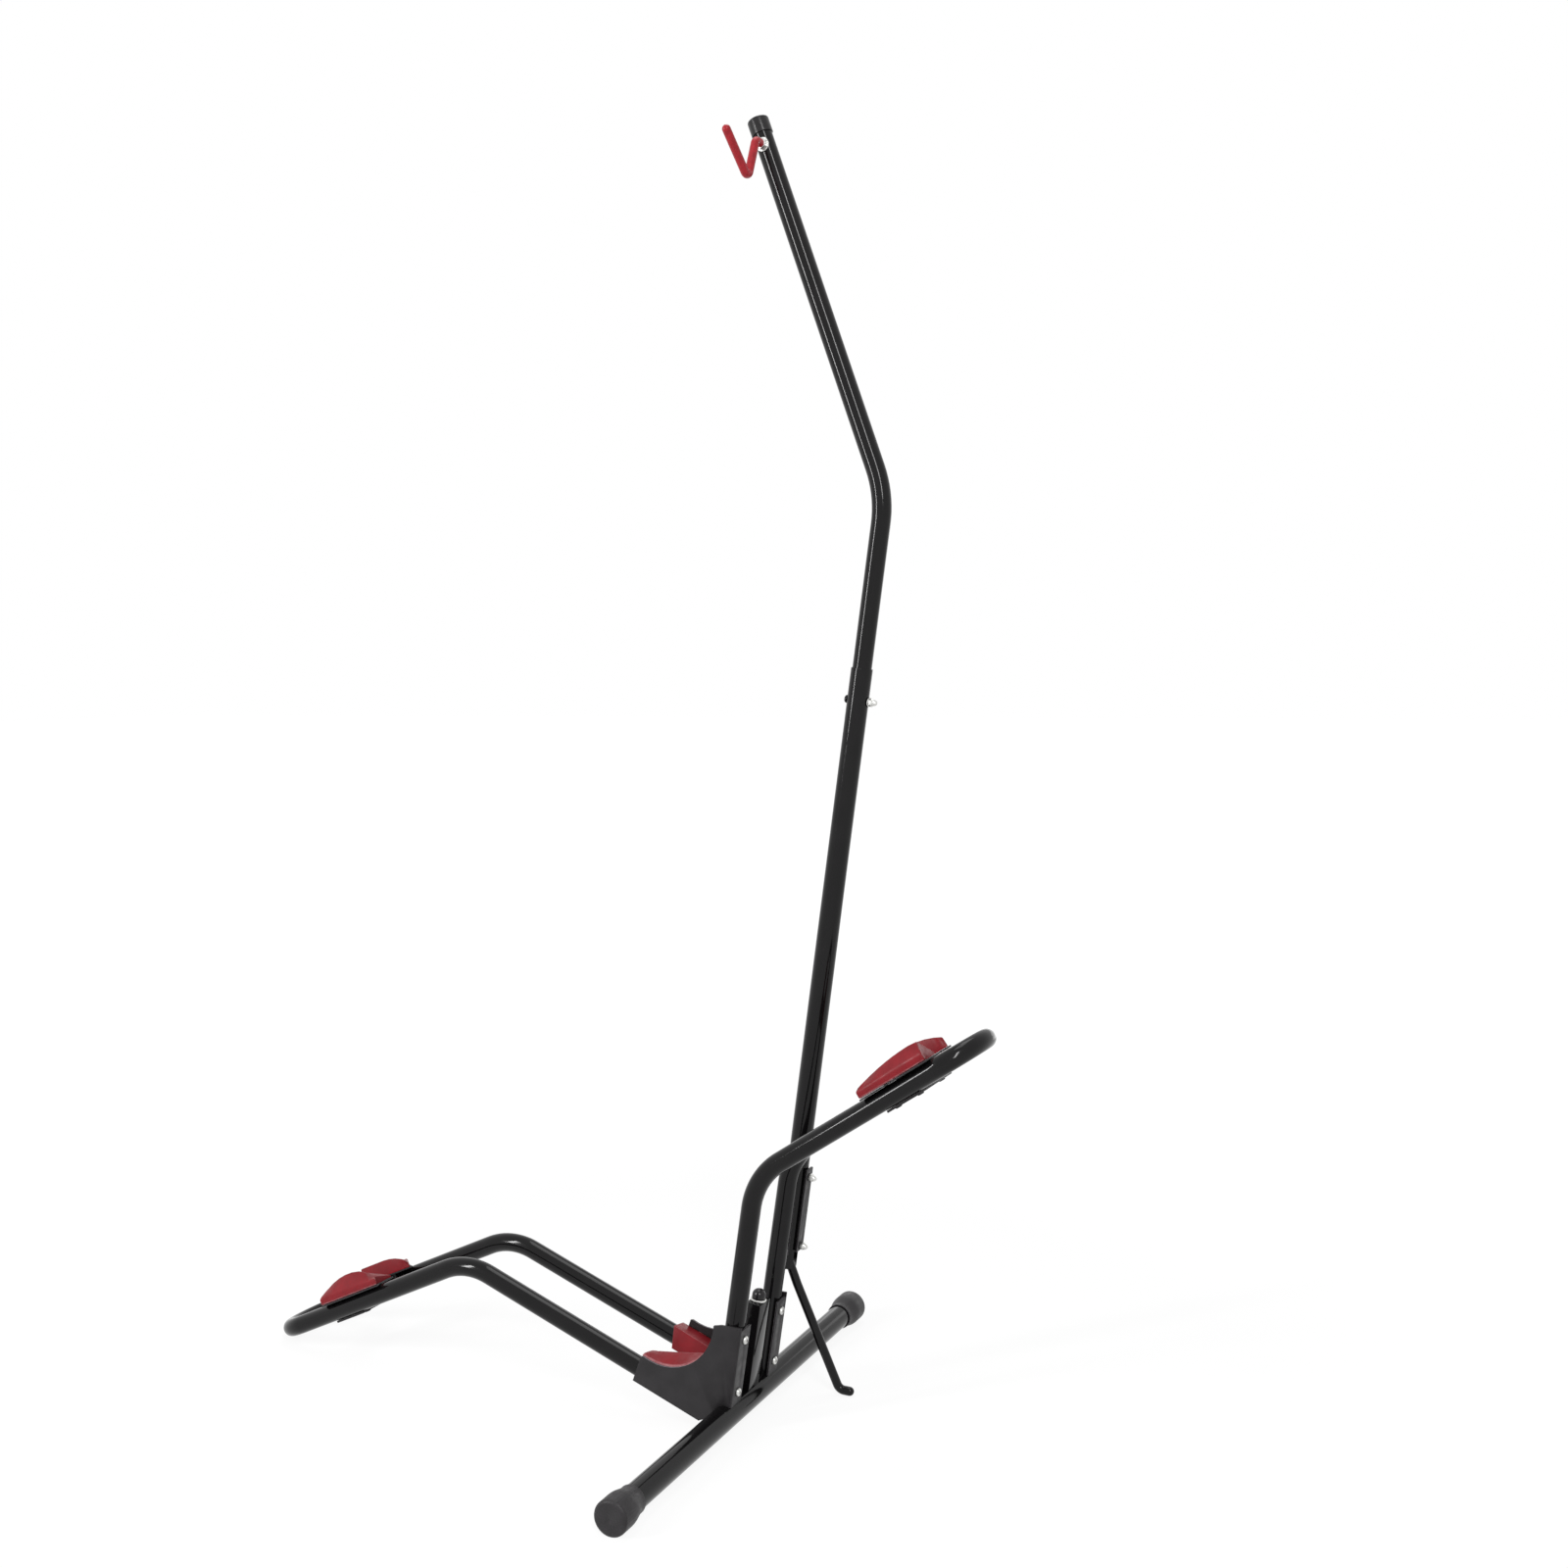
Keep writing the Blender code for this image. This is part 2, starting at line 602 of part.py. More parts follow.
def make_valley_pads(stand):
    """Wedges that fill the corner above the lower legs; the far one stays lower than the near one."""
    leg_top = HOOP_RADIUS / math.cos(lower_leg_slope()) + GAP
    wing = HOOP_HALF_WIDTH - HOOP_RADIUS - GAP
    outer = CHEEK_INNER - GAP
    stations = 8
    for name, side in (("valley_pad_near", -1), ("valley_pad_far", 1)):
        front = VALLEY_PAD_NEAR_FRONT if side < 0 else VALLEY_PAD_FAR_FRONT
        outlines = []
        for step in range(stations + 1):
            share = step / stations
            x = front + (VALLEY_PAD_REAR - front) * share
            top = lower_leg_z(x) + leg_top
            foot = lower_leg_z(x) - HOOP_RADIUS * 0.7
            if side < 0:
                lip = max(valley_rim(x), top) + VALLEY_PAD_LIP
                ridge = VALLEY_PAD_FRONT_RIDGE + (VALLEY_PAD_REAR_RIDGE - VALLEY_PAD_FRONT_RIDGE) * share
            else:
                lip = top + VALLEY_PAD_LIP
                ridge = top + VALLEY_PAD_FAR_SKIN * (1 - 0.4 * share)
            section = [(outer, top), (outer, lip), (VALLEY_PAD_INNER + VALLEY_PAD_SKIN, ridge),
                       (VALLEY_PAD_INNER, foot), (wing, foot), (wing, top)]
            outlines.append([(x, side * y, z) for y, z in section])
        bm = bmesh.new()
        loft(bm, outlines)
        put(name, bm, RED_PAD, stand)


def pad_base():
    return HOOP_RADIUS + GAP + BACKING_PLATE + GAP


def pad_edges(shape):
    """Distances of a pad's outer wall, ridge and inner edge from the wheel's plane."""
    outer = HOOP_HALF_WIDTH + HOOP_RADIUS + PAD_OVERHANG
    return outer, outer - shape["ridge_inset"], outer - PAD_WIDTH


def pad_bm(shape, side):
    """A wheel pad: a low outer wall, a facet up to an arched ridge and a slope to the trough."""
    base = pad_base()
    outer, middle, inner = pad_edges(shape)
    peak_at = shape["peak_at"]
    outlines = []
    for step in range(PAD_STEPS + 1):
        share = step / PAD_STEPS
        before = max(0.0, (peak_at - share) / peak_at)
        behind = max(0.0, (share - peak_at) / (1 - peak_at))
        ridge = (shape["peak"] - shape["front_fall"] * before ** 2
                 - shape["rear_fall"] * behind ** shape["rear_power"])
        wall_x, ridge_x = (start + (end - start) * share for start, end in (shape["wall"], shape["ridge"]))
        section = [(wall_x, outer, base), (wall_x, outer, base + PAD_WALL), (ridge_x, middle, base + ridge),
                   (ridge_x, inner, base + PAD_TROUGH), (ridge_x, inner, base), (ridge_x, middle, base)]
        outlines.append([(x, side * y, z) for x, y, z in section])
    bm = bmesh.new()
    loft(bm, outlines, ((0, 1, 2, 5), (5, 2, 3, 4)))
    return bm


def backing_bm(shape, side):
    """The thin plate under a pad. It stands out a little at both ends of the pad's ridge."""
    outer, middle, inner = pad_edges(shape)
    front = shape["ridge"][0] - BACKING_LUG
    rear = shape["ridge"][1] + BACKING_LUG
    plan = [(shape["wall"][0], outer), (shape["wall"][1], outer), (rear, middle), (rear, inner),
            (front, inner), (front, middle)]
    low = HOOP_RADIUS + GAP
    bm = bmesh.new()
    loft(bm, [[(x, side * y, z) for x, y in plan] for z in (low, low + BACKING_PLATE)])
    return bm


def make_hoop_pads(which, frame, shapes, clamp_at):
    """The two pads of one hoop, their backing plates and the plate and screws that clamp them."""
    screw_y = HOOP_HALF_WIDTH - HOOP_RADIUS - PAD_SCREW_CLEARANCE - PAD_SCREW / 2
    bottom = -HOOP_RADIUS - GAP - CLAMP_PLATE
    holes = []
    for place, side in (("near", -1), ("far", 1)):
        pad = put(f"{which}_pad_{place}", pad_bm(shapes[place], side), RED_PAD, frame)
        backing = put(f"{which}_backing_{place}", backing_bm(shapes[place], side), DARK_PLASTIC, frame)
        for end, shift in (("front", -PAD_SCREW_SPREAD), ("rear", PAD_SCREW_SPREAD)):
            x = clamp_at + shift
            y = side * screw_y
            top = pad_base() + PAD_SCREW_DEPTH
            tool = bar_tool(f"{which}_hole_{place}_{end}", (x, y, bottom - 0.01),
                            (x, y, top + 2 * GAP), PAD_SCREW + 2 * HOLE_GAP, frame)
            holes.append(tool)
            combine(pad, [tool])
            combine(backing, [tool])
            profile = bolt_profile(PAD_SCREW, PAD_SCREW_HEAD, PAD_SCREW_HEAD_HEIGHT, top - bottom + GAP)
            turned(f"{which}_screw_{place}_{end}", profile, BLACK_SCREW, frame,
                   (x, y, bottom - GAP), (0, 0, -1))
    half = CLAMP_PLATE_LENGTH / 2
    plate = box(f"{which}_clamp_plate", (clamp_at - half, -CLAMP_PLATE_HALF_WIDTH, bottom),
                (clamp_at + half, CLAMP_PLATE_HALF_WIDTH, bottom + CLAMP_PLATE), DARK_PLATE, frame)
    combine(plate, holes)


def make_post(leg, bar_room):
    """The dark post between the upright legs, with a knob on its top."""
    low = leg_height(BAR_HEIGHT)
    high = leg_height(POST_TOP)
    depth = POST_DEPTH / 2
    width = POST_WIDTH / 2
    post = box("centre_post", (POST_SETBACK - depth, -width, low), (POST_SETBACK + depth, width, high),
               BLACK_ENAMEL, leg)
    bm = bmesh.new()
    box_bm(bm, (POST_SETBACK - depth + POST_WALL, -width + POST_WALL, low - 0.01),
           (POST_SETBACK + depth - POST_WALL, width - POST_WALL, high - POST_WALL))
    combine(post, [guide("post_hollow", bm, leg), bar_room])
    up = (0, 0, 1)
    turned("post_collar", washer_profile(2 * COLLAR_RADIUS, BOLT_HOLE, COLLAR_HEIGHT), BRIGHT_STEEL, leg,
           (POST_SETBACK, 0, high + GAP), up)
    seat = COLLAR_HEIGHT + 2 * GAP
    stud = BOLT / 2
    profile = [(0.0, seat + KNOB_HEIGHT), (KNOB_RADIUS * 0.5, seat + KNOB_HEIGHT * 0.93),
               (KNOB_RADIUS * 0.87, seat + KNOB_HEIGHT * 0.7), (KNOB_RADIUS, seat + KNOB_HEIGHT * 0.4),
               (KNOB_RADIUS, seat), (stud, seat), (stud, GAP), (0.0, GAP)]
    turned("post_knob", profile, GLOSS_PLASTIC, leg, (POST_SETBACK, 0, high), up)


def make_mast_foot(mast):
    """The bracket, the rear strip and their two bolts. Returns the bolt holes.

    The bracket is a plate before the mast with a thin web between the mast and the far leg.
    """
    front = -MAST_RADIUS - GAP
    rear = MAST_RADIUS + GAP
    leg_side = GAP - MAST_RADIUS - MAST_SIDE_GAP
    bracket = box("mast_bracket", (front - BRACKET_PLATE, leg_side, -BRACKET_BELOW),
                  (front, BRACKET_EDGE, BRACKET_ABOVE), DARK_PLATE, mast)
    bm = bmesh.new()
    web_low = KICK_PIN_AT + KICK_PIN_HEAD_WIDTH / 2 + 2 * GAP
    box_bm(bm, (front - BRACKET_PLATE, leg_side, web_low),
           (BRACKET_WEB_REACH, -MAST_RADIUS - GAP, BRACKET_ABOVE))
    combine(bracket, [guide("bracket_web", bm, mast)], "UNION")
    strip = box("mast_strip", (rear, -STRIP_WIDTH / 2, -STRIP_BELOW),
                (rear + STRIP_PLATE, STRIP_WIDTH / 2, STRIP_ABOVE), DARK_PLATE, mast)
    holes = []
    length = 2 * MAST_RADIUS + BRACKET_PLATE + STRIP_PLATE + 4 * GAP + DOME_NUT_HEIGHT * 0.5
    for level, height in MAST_BOLTS_AT.items():
        holes.append(bar_tool(f"mast_bolt_hole_{level}", (-0.03, 0, height), (0.03, 0, height),
                              BOLT_HOLE, mast))
        turned(f"mast_bolt_{level}", bolt_profile(BOLT, BOLT_HEAD, BOLT_HEAD_HEIGHT, length),
               BRIGHT_STEEL, mast, (front - BRACKET_PLATE - GAP, 0, height), (-1, 0, 0))
        nut(f"mast_nut_{level}", NUT_WIDTH, BOLT_HOLE, DOME_NUT_HEIGHT, BRIGHT_STEEL, mast,
            (rear + STRIP_PLATE + GAP, 0, height), (1, 0, 0), dome=True)
    combine(bracket, holes)
    combine(strip, holes)
    return holes


def make_mast(mast, foot_holes):
    """The outer tube, and the bent inner tube with the slot that its clamp bolt runs in."""
    lower = tube("mast_lower", [(0, 0, MAST_BOTTOM), (0, 0, MAST_JOINT)], (), MAST_TUBE, MAST_WALL,
                 BLACK_ENAMEL, mast)
    clamp_hole = bar_tool("clamp_hole", (-0.03, 0, CLAMP_AT), (0.03, 0, CLAMP_AT), BOLT_HOLE, mast)
    pin_hole = bar_tool("kickstand_pin_hole", (0, -0.03, KICK_PIN_AT), (0, 0.03, KICK_PIN_AT),
                        KICK_PIN + 2 * HOLE_GAP, mast)
    half = KICK_ROD / 2 + 2 * GAP
    bm = bmesh.new()
    box_bm(bm, (MAST_RADIUS * 0.5, -half, MAST_BOTTOM - 0.01),
           (MAST_RADIUS + 0.01, half, KICK_PIN_AT + KICK_SLOT_RISE))
    leg_slot = guide("kickstand_slot", bm, mast)
    combine(lower, foot_holes + [clamp_hole, pin_hole, leg_slot])

    bend = math.radians(MAST_BEND_ANGLE)
    head = MAST_HEAD_LENGTH - MAST_CAP_TOP - GAP
    top = (-head * math.sin(bend), 0, MAST_BEND_AT + head * math.cos(bend))
    upper = tube("mast_upper", [(0, 0, MAST_JOINT - MAST_OVERLAP), (0, 0, MAST_BEND_AT), top],
                 (MAST_BEND_RADIUS,), MAST_INNER_TUBE, MAST_INNER_WALL, BLACK_ENAMEL, mast)
    bm = bmesh.new()
    box_bm(bm, (-0.03, -BOLT_HOLE / 2, CLAMP_AT - MAST_TRAVEL_UP - SLOT_END - BOLT / 2),
           (0.03, BOLT_HOLE / 2, CLAMP_AT + MAST_TRAVEL_DOWN + SLOT_END + BOLT / 2))
    slot = guide("mast_slot", bm, mast)
    combine(upper, [slot])

    front = -MAST_RADIUS - GAP
    rear = MAST_RADIUS + GAP
    length = 2 * MAST_RADIUS + 3 * GAP + WASHER + DOME_NUT_HEIGHT * 0.5
    turned("clamp_bolt", bolt_profile(BOLT, BOLT_HEAD, BOLT_HEAD_HEIGHT, length), BLACK_SCREW, mast,
           (front, 0, CLAMP_AT), (-1, 0, 0))
    turned("clamp_washer", washer_profile(WASHER_WIDTH, BOLT_HOLE, WASHER), BRIGHT_STEEL, mast,
           (rear, 0, CLAMP_AT), (1, 0, 0))
    nut("clamp_nut", NUT_WIDTH, BOLT_HOLE, DOME_NUT_HEIGHT, BRIGHT_STEEL, mast,
        (rear + WASHER + GAP, 0, CLAMP_AT), (1, 0, 0), dome=True)
    return upper


def make_mast_cap(mast):
    head = empty("mast_head", mast, (0, 0, MAST_BEND_AT), -MAST_BEND_ANGLE)
    mouth = MAST_INNER_RADIUS + GAP
    outside = mouth + MAST_CAP_WALL
    top = MAST_HEAD_LENGTH
    profile = [(0.0, top), (outside * 0.8, top - MAST_CAP_TOP * 0.15),
               (outside * 0.96, top - MAST_CAP_TOP * 0.5), (outside, top - MAST_CAP_TOP),
               (outside, top - MAST_CAP_LENGTH), (mouth, top - MAST_CAP_LENGTH),
               (mouth, top - MAST_CAP_TOP), (0.0, top - MAST_CAP_TOP)]
    turned("mast_cap", profile, GLOSS_PLASTIC, head, (0, 0, 0), (0, 0, 1), TUBE_SIDES)


def make_hook(mast, upper):
    """The red rod: a stud through the mast, then a V that opens upwards towards the stand's middle."""
    bend = math.radians(MAST_BEND_ANGLE)
    local = Vector((-HOOK_AT * math.sin(bend), 0, MAST_BEND_AT + HOOK_AT * math.cos(bend)))
    frame = empty("hook_frame", mast, local, -MAST_LEAN)
    near = -MAST_INNER_RADIUS - GAP
    far = -near
    stack = WASHER + GAP + HOOK_NUT_HEIGHT
    hole = HOOK_STUD + 2 * HOLE_GAP
    start = far + stack + HOOK_STUD_TAIL
    shoulder = near - stack - GAP
    corners = [(0, start, 0), (0, -HOOK_STICKOUT, 0), (0, -HOOK_DIP, -HOOK_DROP),
               (0, -HOOK_TIP_OUT, -HOOK_TIP_DROP)]
    stations = bent_path(corners, (HOOK_BEND_RADIUS, HOOK_BEND_RADIUS))
    heading = stations[0][1]
    step = Vector((0, shoulder, 0))
    radius = HOOK_ROD / 2
    thin = HOOK_STUD / HOOK_ROD
    tip = round_end(stations, radius, False)
    row = [stations[0], (step, heading), (step, heading)] + stations[1:] + [place for place, size in tip]
    sizes = [thin, thin, 1.0] + [1.0] * len(stations[1:]) + [size for place, size in tip]
    bm = bmesh.new()
    sweep(bm, disc(bm, radius, SMALL_SIDES), path_frames(row, sizes))
    put("hook", bm, RED_COATING, frame)
    combine(upper, [bar_tool("hook_hole", (0, -0.03, 0), (0, 0.03, 0), hole, frame)])
    for place, seat, way in (("near", near, -1), ("far", far, 1)):
        turned("hook_washer_" + place, washer_profile(HOOK_WASHER_WIDTH, hole, WASHER), BRIGHT_STEEL,
               frame, (0, seat, 0), (0, way, 0))
        nut("hook_nut_" + place, HOOK_NUT_WIDTH, hole, HOOK_NUT_HEIGHT, BRIGHT_STEEL, frame,
            (0, seat + way * (WASHER + GAP), 0), (0, way, 0))


def make_kickstand(mast, mast_matrix):
    """The rod leg on its pin in the mast's foot. It runs down, splays out and ends in a short foot."""
    pin = mast_matrix @ Vector((0, 0, KICK_PIN_AT))
    frame = empty("kickstand_pivot", mast, (0, 0, KICK_PIN_AT), -MAST_LEAN)
    radius = KICK_ROD / 2
    corners = [(0, 0, 0), (KICK_STRAIGHT_REACH, 0, -KICK_STRAIGHT_DROP),
               (KICK_REACH, KICK_SPLAY, KICK_HEEL_HEIGHT - pin.z),
               (KICK_REACH + KICK_FOOT, KICK_SPLAY, radius + GAP - pin.z)]
    stations = bent_path(corners, (KICK_BEND_RADIUS * 3, KICK_BEND_RADIUS))
    head = round_end(stations, radius, True)
    foot = round_end(stations, radius, False)
    row = [place for place, size in head] + stations + [place for place, size in foot]
    sizes = [size for place, size in head] + [1.0] * len(stations) + [size for place, size in foot]
    bm = bmesh.new()
    sweep(bm, disc(bm, radius, SMALL_SIDES), path_frames(row, sizes))
    leg = put("kickstand", bm, BLACK_ENAMEL, frame)
    hole = KICK_PIN + 2 * HOLE_GAP
    combine(leg, [bar_tool("kickstand_eye", (0, -0.02, 0), (0, 0.02, 0), hole, frame)])
    outside = MAST_RADIUS + GAP
    length = 2 * outside + KICK_PIN_HEAD
    turned("kickstand_pin", bolt_profile(KICK_PIN, KICK_PIN_HEAD_WIDTH, KICK_PIN_HEAD, length),
           BRIGHT_STEEL, frame, (0, -outside, 0), (0, -1, 0))
    room = math.sqrt((MAST_RADIUS - MAST_WALL) ** 2 - (hole / 2 + BUSH_WALL) ** 2)
    start = radius + GAP
    for place, way in (("near", -1), ("far", 1)):
        turned("kickstand_bush_" + place,
               washer_profile(hole + 2 * BUSH_WALL, hole, room * 0.97 - GAP - start), DARK_PLASTIC,
               frame, (0, way * start, 0), (0, way, 0))


def main():
    clear_scene()
    corner_x, corner_z = lower_corner()
    front = corner_x - LOWER_TIP_LENGTH * math.cos(math.radians(LOWER_TIP_ANGLE)) - HOOP_RADIUS
    rear = (upper_leg_x(UPPER_CORNER_HEIGHT) + UPPER_TIP_LENGTH * math.cos(math.radians(UPPER_TIP_ANGLE))
            + HOOP_RADIUS)
    stand = empty("stand", None, (-(front + rear) / 2, 0, 0))
    leg = empty("upright_leg", stand, (-UPPER_LEG_SETBACK, 0, BAR_HEIGHT), UPPER_LEG_LEAN)
    mast_at = (upper_leg_x(BRACKET_HEIGHT) + MAST_SETBACK, MAST_Y, BRACKET_HEIGHT)
    mast = empty("mast", stand, mast_at, MAST_LEAN)
    mast_matrix = Matrix.Translation(mast_at) @ Matrix.Rotation(math.radians(MAST_LEAN), 4, "Y")
    lower_tip = empty("lower_tip", stand, (corner_x, 0, corner_z), -LOWER_TIP_ANGLE)
    upper_corner = (upper_leg_x(UPPER_CORNER_HEIGHT), 0, UPPER_CORNER_HEIGHT)
    upper_tip = empty("upper_tip", stand, upper_corner, -UPPER_TIP_ANGLE)
    bar_room = bar_tool("crossbar_room", (0, -BAR_SPAN, BAR_HEIGHT), (0, BAR_SPAN, BAR_HEIGHT),
                        BAR_TUBE + 2 * GAP, stand, TUBE_SIDES, 0.0)

    make_crossbar(stand)
    upper_hoop = make_hoops(stand, bar_room)
    make_cheeks(stand, leg, upper_hoop, bar_room)
    make_valley_pads(stand)
    make_hoop_pads("lower", lower_tip, {"near": LOWER_NEAR_PAD, "far": LOWER_FAR_PAD}, LOWER_CLAMP_AT)
    make_hoop_pads("upper", upper_tip, {"near": UPPER_NEAR_PAD, "far": UPPER_FAR_PAD}, UPPER_CLAMP_AT)
    make_post(leg, bar_room)
    foot_holes = make_mast_foot(mast)
    upper = make_mast(mast, foot_holes)
    make_mast_cap(mast)
    make_hook(mast, upper)
    make_kickstand(mast, mast_matrix)


main()
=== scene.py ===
"""Looks for the vertical bike stand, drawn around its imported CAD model.

The file is laid out as an add-on and runs as a script. Every size is in metres and every place is in
the CAD model's frame: +Z up, Y along the crossbar, X towards the kickstand.
"""
import math

import bmesh
import bpy
from mathutils import Matrix, Vector


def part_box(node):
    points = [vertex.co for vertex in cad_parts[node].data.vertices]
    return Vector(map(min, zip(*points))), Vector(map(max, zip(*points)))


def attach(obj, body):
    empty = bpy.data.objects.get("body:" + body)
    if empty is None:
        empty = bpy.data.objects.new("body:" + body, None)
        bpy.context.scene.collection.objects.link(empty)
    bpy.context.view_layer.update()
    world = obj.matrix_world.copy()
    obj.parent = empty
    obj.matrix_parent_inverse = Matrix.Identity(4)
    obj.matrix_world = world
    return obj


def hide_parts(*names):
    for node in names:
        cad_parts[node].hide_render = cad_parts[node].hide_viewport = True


bl_info = {
    "name": "Vertical Bike Stand",
    "version": (1, 0, 0),
    "blender": (4, 5, 0),
    "location": "View3D > Sidebar > Bike Stand",
    "description": "Makes the tubes, plates, pads and fasteners of a vertical bike stand",
    "category": "Add Mesh",
}

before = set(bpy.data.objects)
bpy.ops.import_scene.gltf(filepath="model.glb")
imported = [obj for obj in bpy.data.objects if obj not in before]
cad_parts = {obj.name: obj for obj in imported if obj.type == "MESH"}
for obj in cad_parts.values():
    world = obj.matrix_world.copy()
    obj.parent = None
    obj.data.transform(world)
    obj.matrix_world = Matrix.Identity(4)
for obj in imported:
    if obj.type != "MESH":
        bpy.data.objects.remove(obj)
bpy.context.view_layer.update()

MM = 0.001

# Where the parts of the stand are, as the CAD model has them. Corners of the hoops are X and Z.
# Heights on the mast are measured along it from MAST_AT, and the height of its head from its bend.
BAR_AXIS = Vector((0.20514, 0.0, 0.0213))
HOOP_HALF_WIDTH = 0.055
LOWER_HEEL = (0.19004, 0.01676)
LOWER_CORNER = (-0.19316, 0.16559)
LOWER_TIP_LENGTH = 0.367
LOWER_TIP_ANGLE = math.radians(24.62)
UPPER_HEEL = (0.19891, 0.0352)
UPPER_CORNER = (0.24542, 0.3332)
UPPER_TIP_LENGTH = 0.3367
UPPER_TIP_ANGLE = math.radians(33.39)
LEG_LEAN = math.radians(8.87)
MAST_LEAN = math.radians(8.31)
MAST_AT = Vector((0.23259, 0.0838, 0.2446))
MAST_BOTTOM = -0.0727
MAST_JOINT = 0.731
MAST_OVERLAP = 0.2
MAST_BEND_AT = 0.952
MAST_BEND_ANGLE = math.radians(27.74)
MAST_HEAD = 0.518
CLAMP_AT = 0.6896
HOOK_AT = Vector((0.21091, 0.0838, 1.63814))
KICK_PIVOT = Vector((0.22428, 0.0838, 0.1877))

MAST_FRAME = Matrix.Translation(MAST_AT) @ Matrix.Rotation(MAST_LEAN, 4, "Y")
HEAD_FRAME = (MAST_FRAME @ Matrix.Translation((0, 0, MAST_BEND_AT))
              @ Matrix.Rotation(-MAST_BEND_ANGLE, 4, "Y"))
LEG_UP = Vector((math.sin(LEG_LEAN), 0.0, math.cos(LEG_LEAN)))
LEG_AXIS = Vector((math.cos(LEG_LEAN), 0.0, -math.sin(LEG_LEAN)))
MAST_AXIS = Vector((math.cos(MAST_LEAN), 0.0, -math.sin(MAST_LEAN)))
LOWER_SCREW_AXIS = Vector((math.sin(LOWER_TIP_ANGLE), 0.0, -math.cos(LOWER_TIP_ANGLE)))
UPPER_SCREW_AXIS = Vector((math.sin(UPPER_TIP_ANGLE), 0.0, -math.cos(UPPER_TIP_ANGLE)))
NEAR_AXIS = Vector((0.0, -1.0, 0.0))

# Feet of the crossbar. The flare runs between two shares of a foot's length.
FOOT_RADIUS = 21.8 * MM
FOOT_FACE_RADIUS = 0.78 * FOOT_RADIUS
FOOT_CROWN = 4.0 * MM
FOOT_DIMPLE = ((0.0, 0.5 * MM), (1.0 * MM, 0.4 * MM), (1.6 * MM, 0.0))
FOOT_FLARE_FROM = 0.46
FOOT_FLARE_TO = 0.92
FOOT_FLARE_STEPS = 8
FOOT_NECK_WALL = 2.0 * MM
FOOT_LIP = 0.6 * MM
FOOT_PLAY = 0.2 * MM
FOOT_BORE_SHOWN = 3.0 * MM
FOOT_ABOVE_GROUND = 0.01 * MM

# Knob on the centre post. Its side is straight over a share of its height above the neck.
KNOB_RADIUS = 9.0 * MM
KNOB_EDGE = 0.6 * MM
KNOB_STRAIGHT = 0.35
KNOB_NECK_RADIUS = 3.0 * MM
KNOB_NECK_HEIGHT = 3.6 * MM

# Ends and slots of the mast's tubes, and the cap. The upper tube stops below the cap's roof. The
# bores show a real depth of each tube, and the cutters of the slots reach a little past the tube.
JOINT_BORE_SHOWN = 0.06
FOOT_OF_MAST_BORE = 0.12
KICK_SLOT_WIDTH = 13.2 * MM
KICK_SLOT_TOP = -49.0 * MM
CLAMP_SLOT_WIDTH = 6.6 * MM
CLAMP_SLOT_BELOW = 0.106
CLAMP_SLOT_ABOVE = 0.026
CLAMP_SLOT_DEPTH = 1.8 * MM
CUTTER_SPARE = 1.4 * MM
CAP_ROOF = 3.3 * MM
CAP_RADIUS = 14.2 * MM
CAP_BORE_RADIUS = 13.0 * MM
CAP_LENGTH = 22.0 * MM
CAP_BORE_SHOWN = 2.0 * MM
CAP_RIM = 0.4 * MM
CAP_CROWN = 3.0 * MM
# The CAD model's cap has fewer sides, so this one ends lower to stay inside its box
CAP_LOWERED = 0.6 * MM

# Hook and stud, as places from HOOK_AT. The stud's thread is drawn as rings, one to each turn.
HOOK_SHOULDER = -20.6 * MM
HOOK_ROUTE = ((0, HOOK_SHOULDER, 0), (0, -0.0335, 0), (0, -0.058, -0.0535), (0, -0.117, -0.009))
HOOK_BENDS = (0.0085, 0.0085)
COATING_EDGE = 0.6 * MM
STUD_RADIUS = 3.95 * MM
STUD_END = 23.3 * MM
THREAD_PITCH = 1.25 * MM
THREAD_DEPTH = 0.5 * MM
THREAD_RISE = 0.6 * MM

# Kickstand, as places from KICK_PIVOT, and its rivet
KICK_ROUTE = ((0, 0, 0), (0.0145, 0, -0.038), (0.0674, 0.017, -0.1811), (0.0824, 0.017, -0.1814))
KICK_BENDS = (0.033, 0.011)
PIN_RADIUS = 3.0 * MM
PIN_EDGE = 0.4 * MM
RIVET_RADIUS = 5.0 * MM
RIVET_HEIGHT = 1.2 * MM
BUSH_EDGE = 0.2 * MM

# Fasteners: diameters of shanks, heads and bores, and widths across the flats of sockets and nuts
BOLT = {"shank": 6 * MM, "head": 11 * MM, "head_height": 3.2 * MM, "socket": 4 * MM}
PAD_SCREW = {"shank": 5 * MM, "head": 9 * MM, "head_height": 1.2 * MM, "socket": 3 * MM}
BOLT_NUT = {"width": 10 * MM, "bore": 6 * MM}
HOOK_NUT = {"width": 13 * MM, "bore": 8 * MM}
WASHER_BORE = 6.6 * MM
HOOK_WASHER_BORE = 8.6 * MM
SHANK_EDGE = 0.3 * MM
SEAT_EDGE = 0.2 * MM
HEAD_EDGE = 0.15 * MM
NUT_CORNER = 0.4 * MM
NUT_FACE = 0.15 * MM
BOLT_END_BELOW = 0.3 * MM
BORE_CHAMFER = 0.5 * MM
CAP_NUT_RIM = 0.3 * MM
CAP_NUT_SINK = 0.2 * MM
# Shares of a screw head's radius and height, and of a nut's width and height
HEAD_FLAT = 0.6
SOCKET_DEPTH = 0.6
NUT_FACE_RADIUS = 0.4
CAP_NUT_BASE = 0.42
CAP_NUT_FLANGE = 0.46
CAP_NUT_SHOULDER = 0.455
CAP_NUT_DOME = 0.43

# How copies of the CAD model's plates and pads are merged and rounded
MERGE = 0.02 * MM
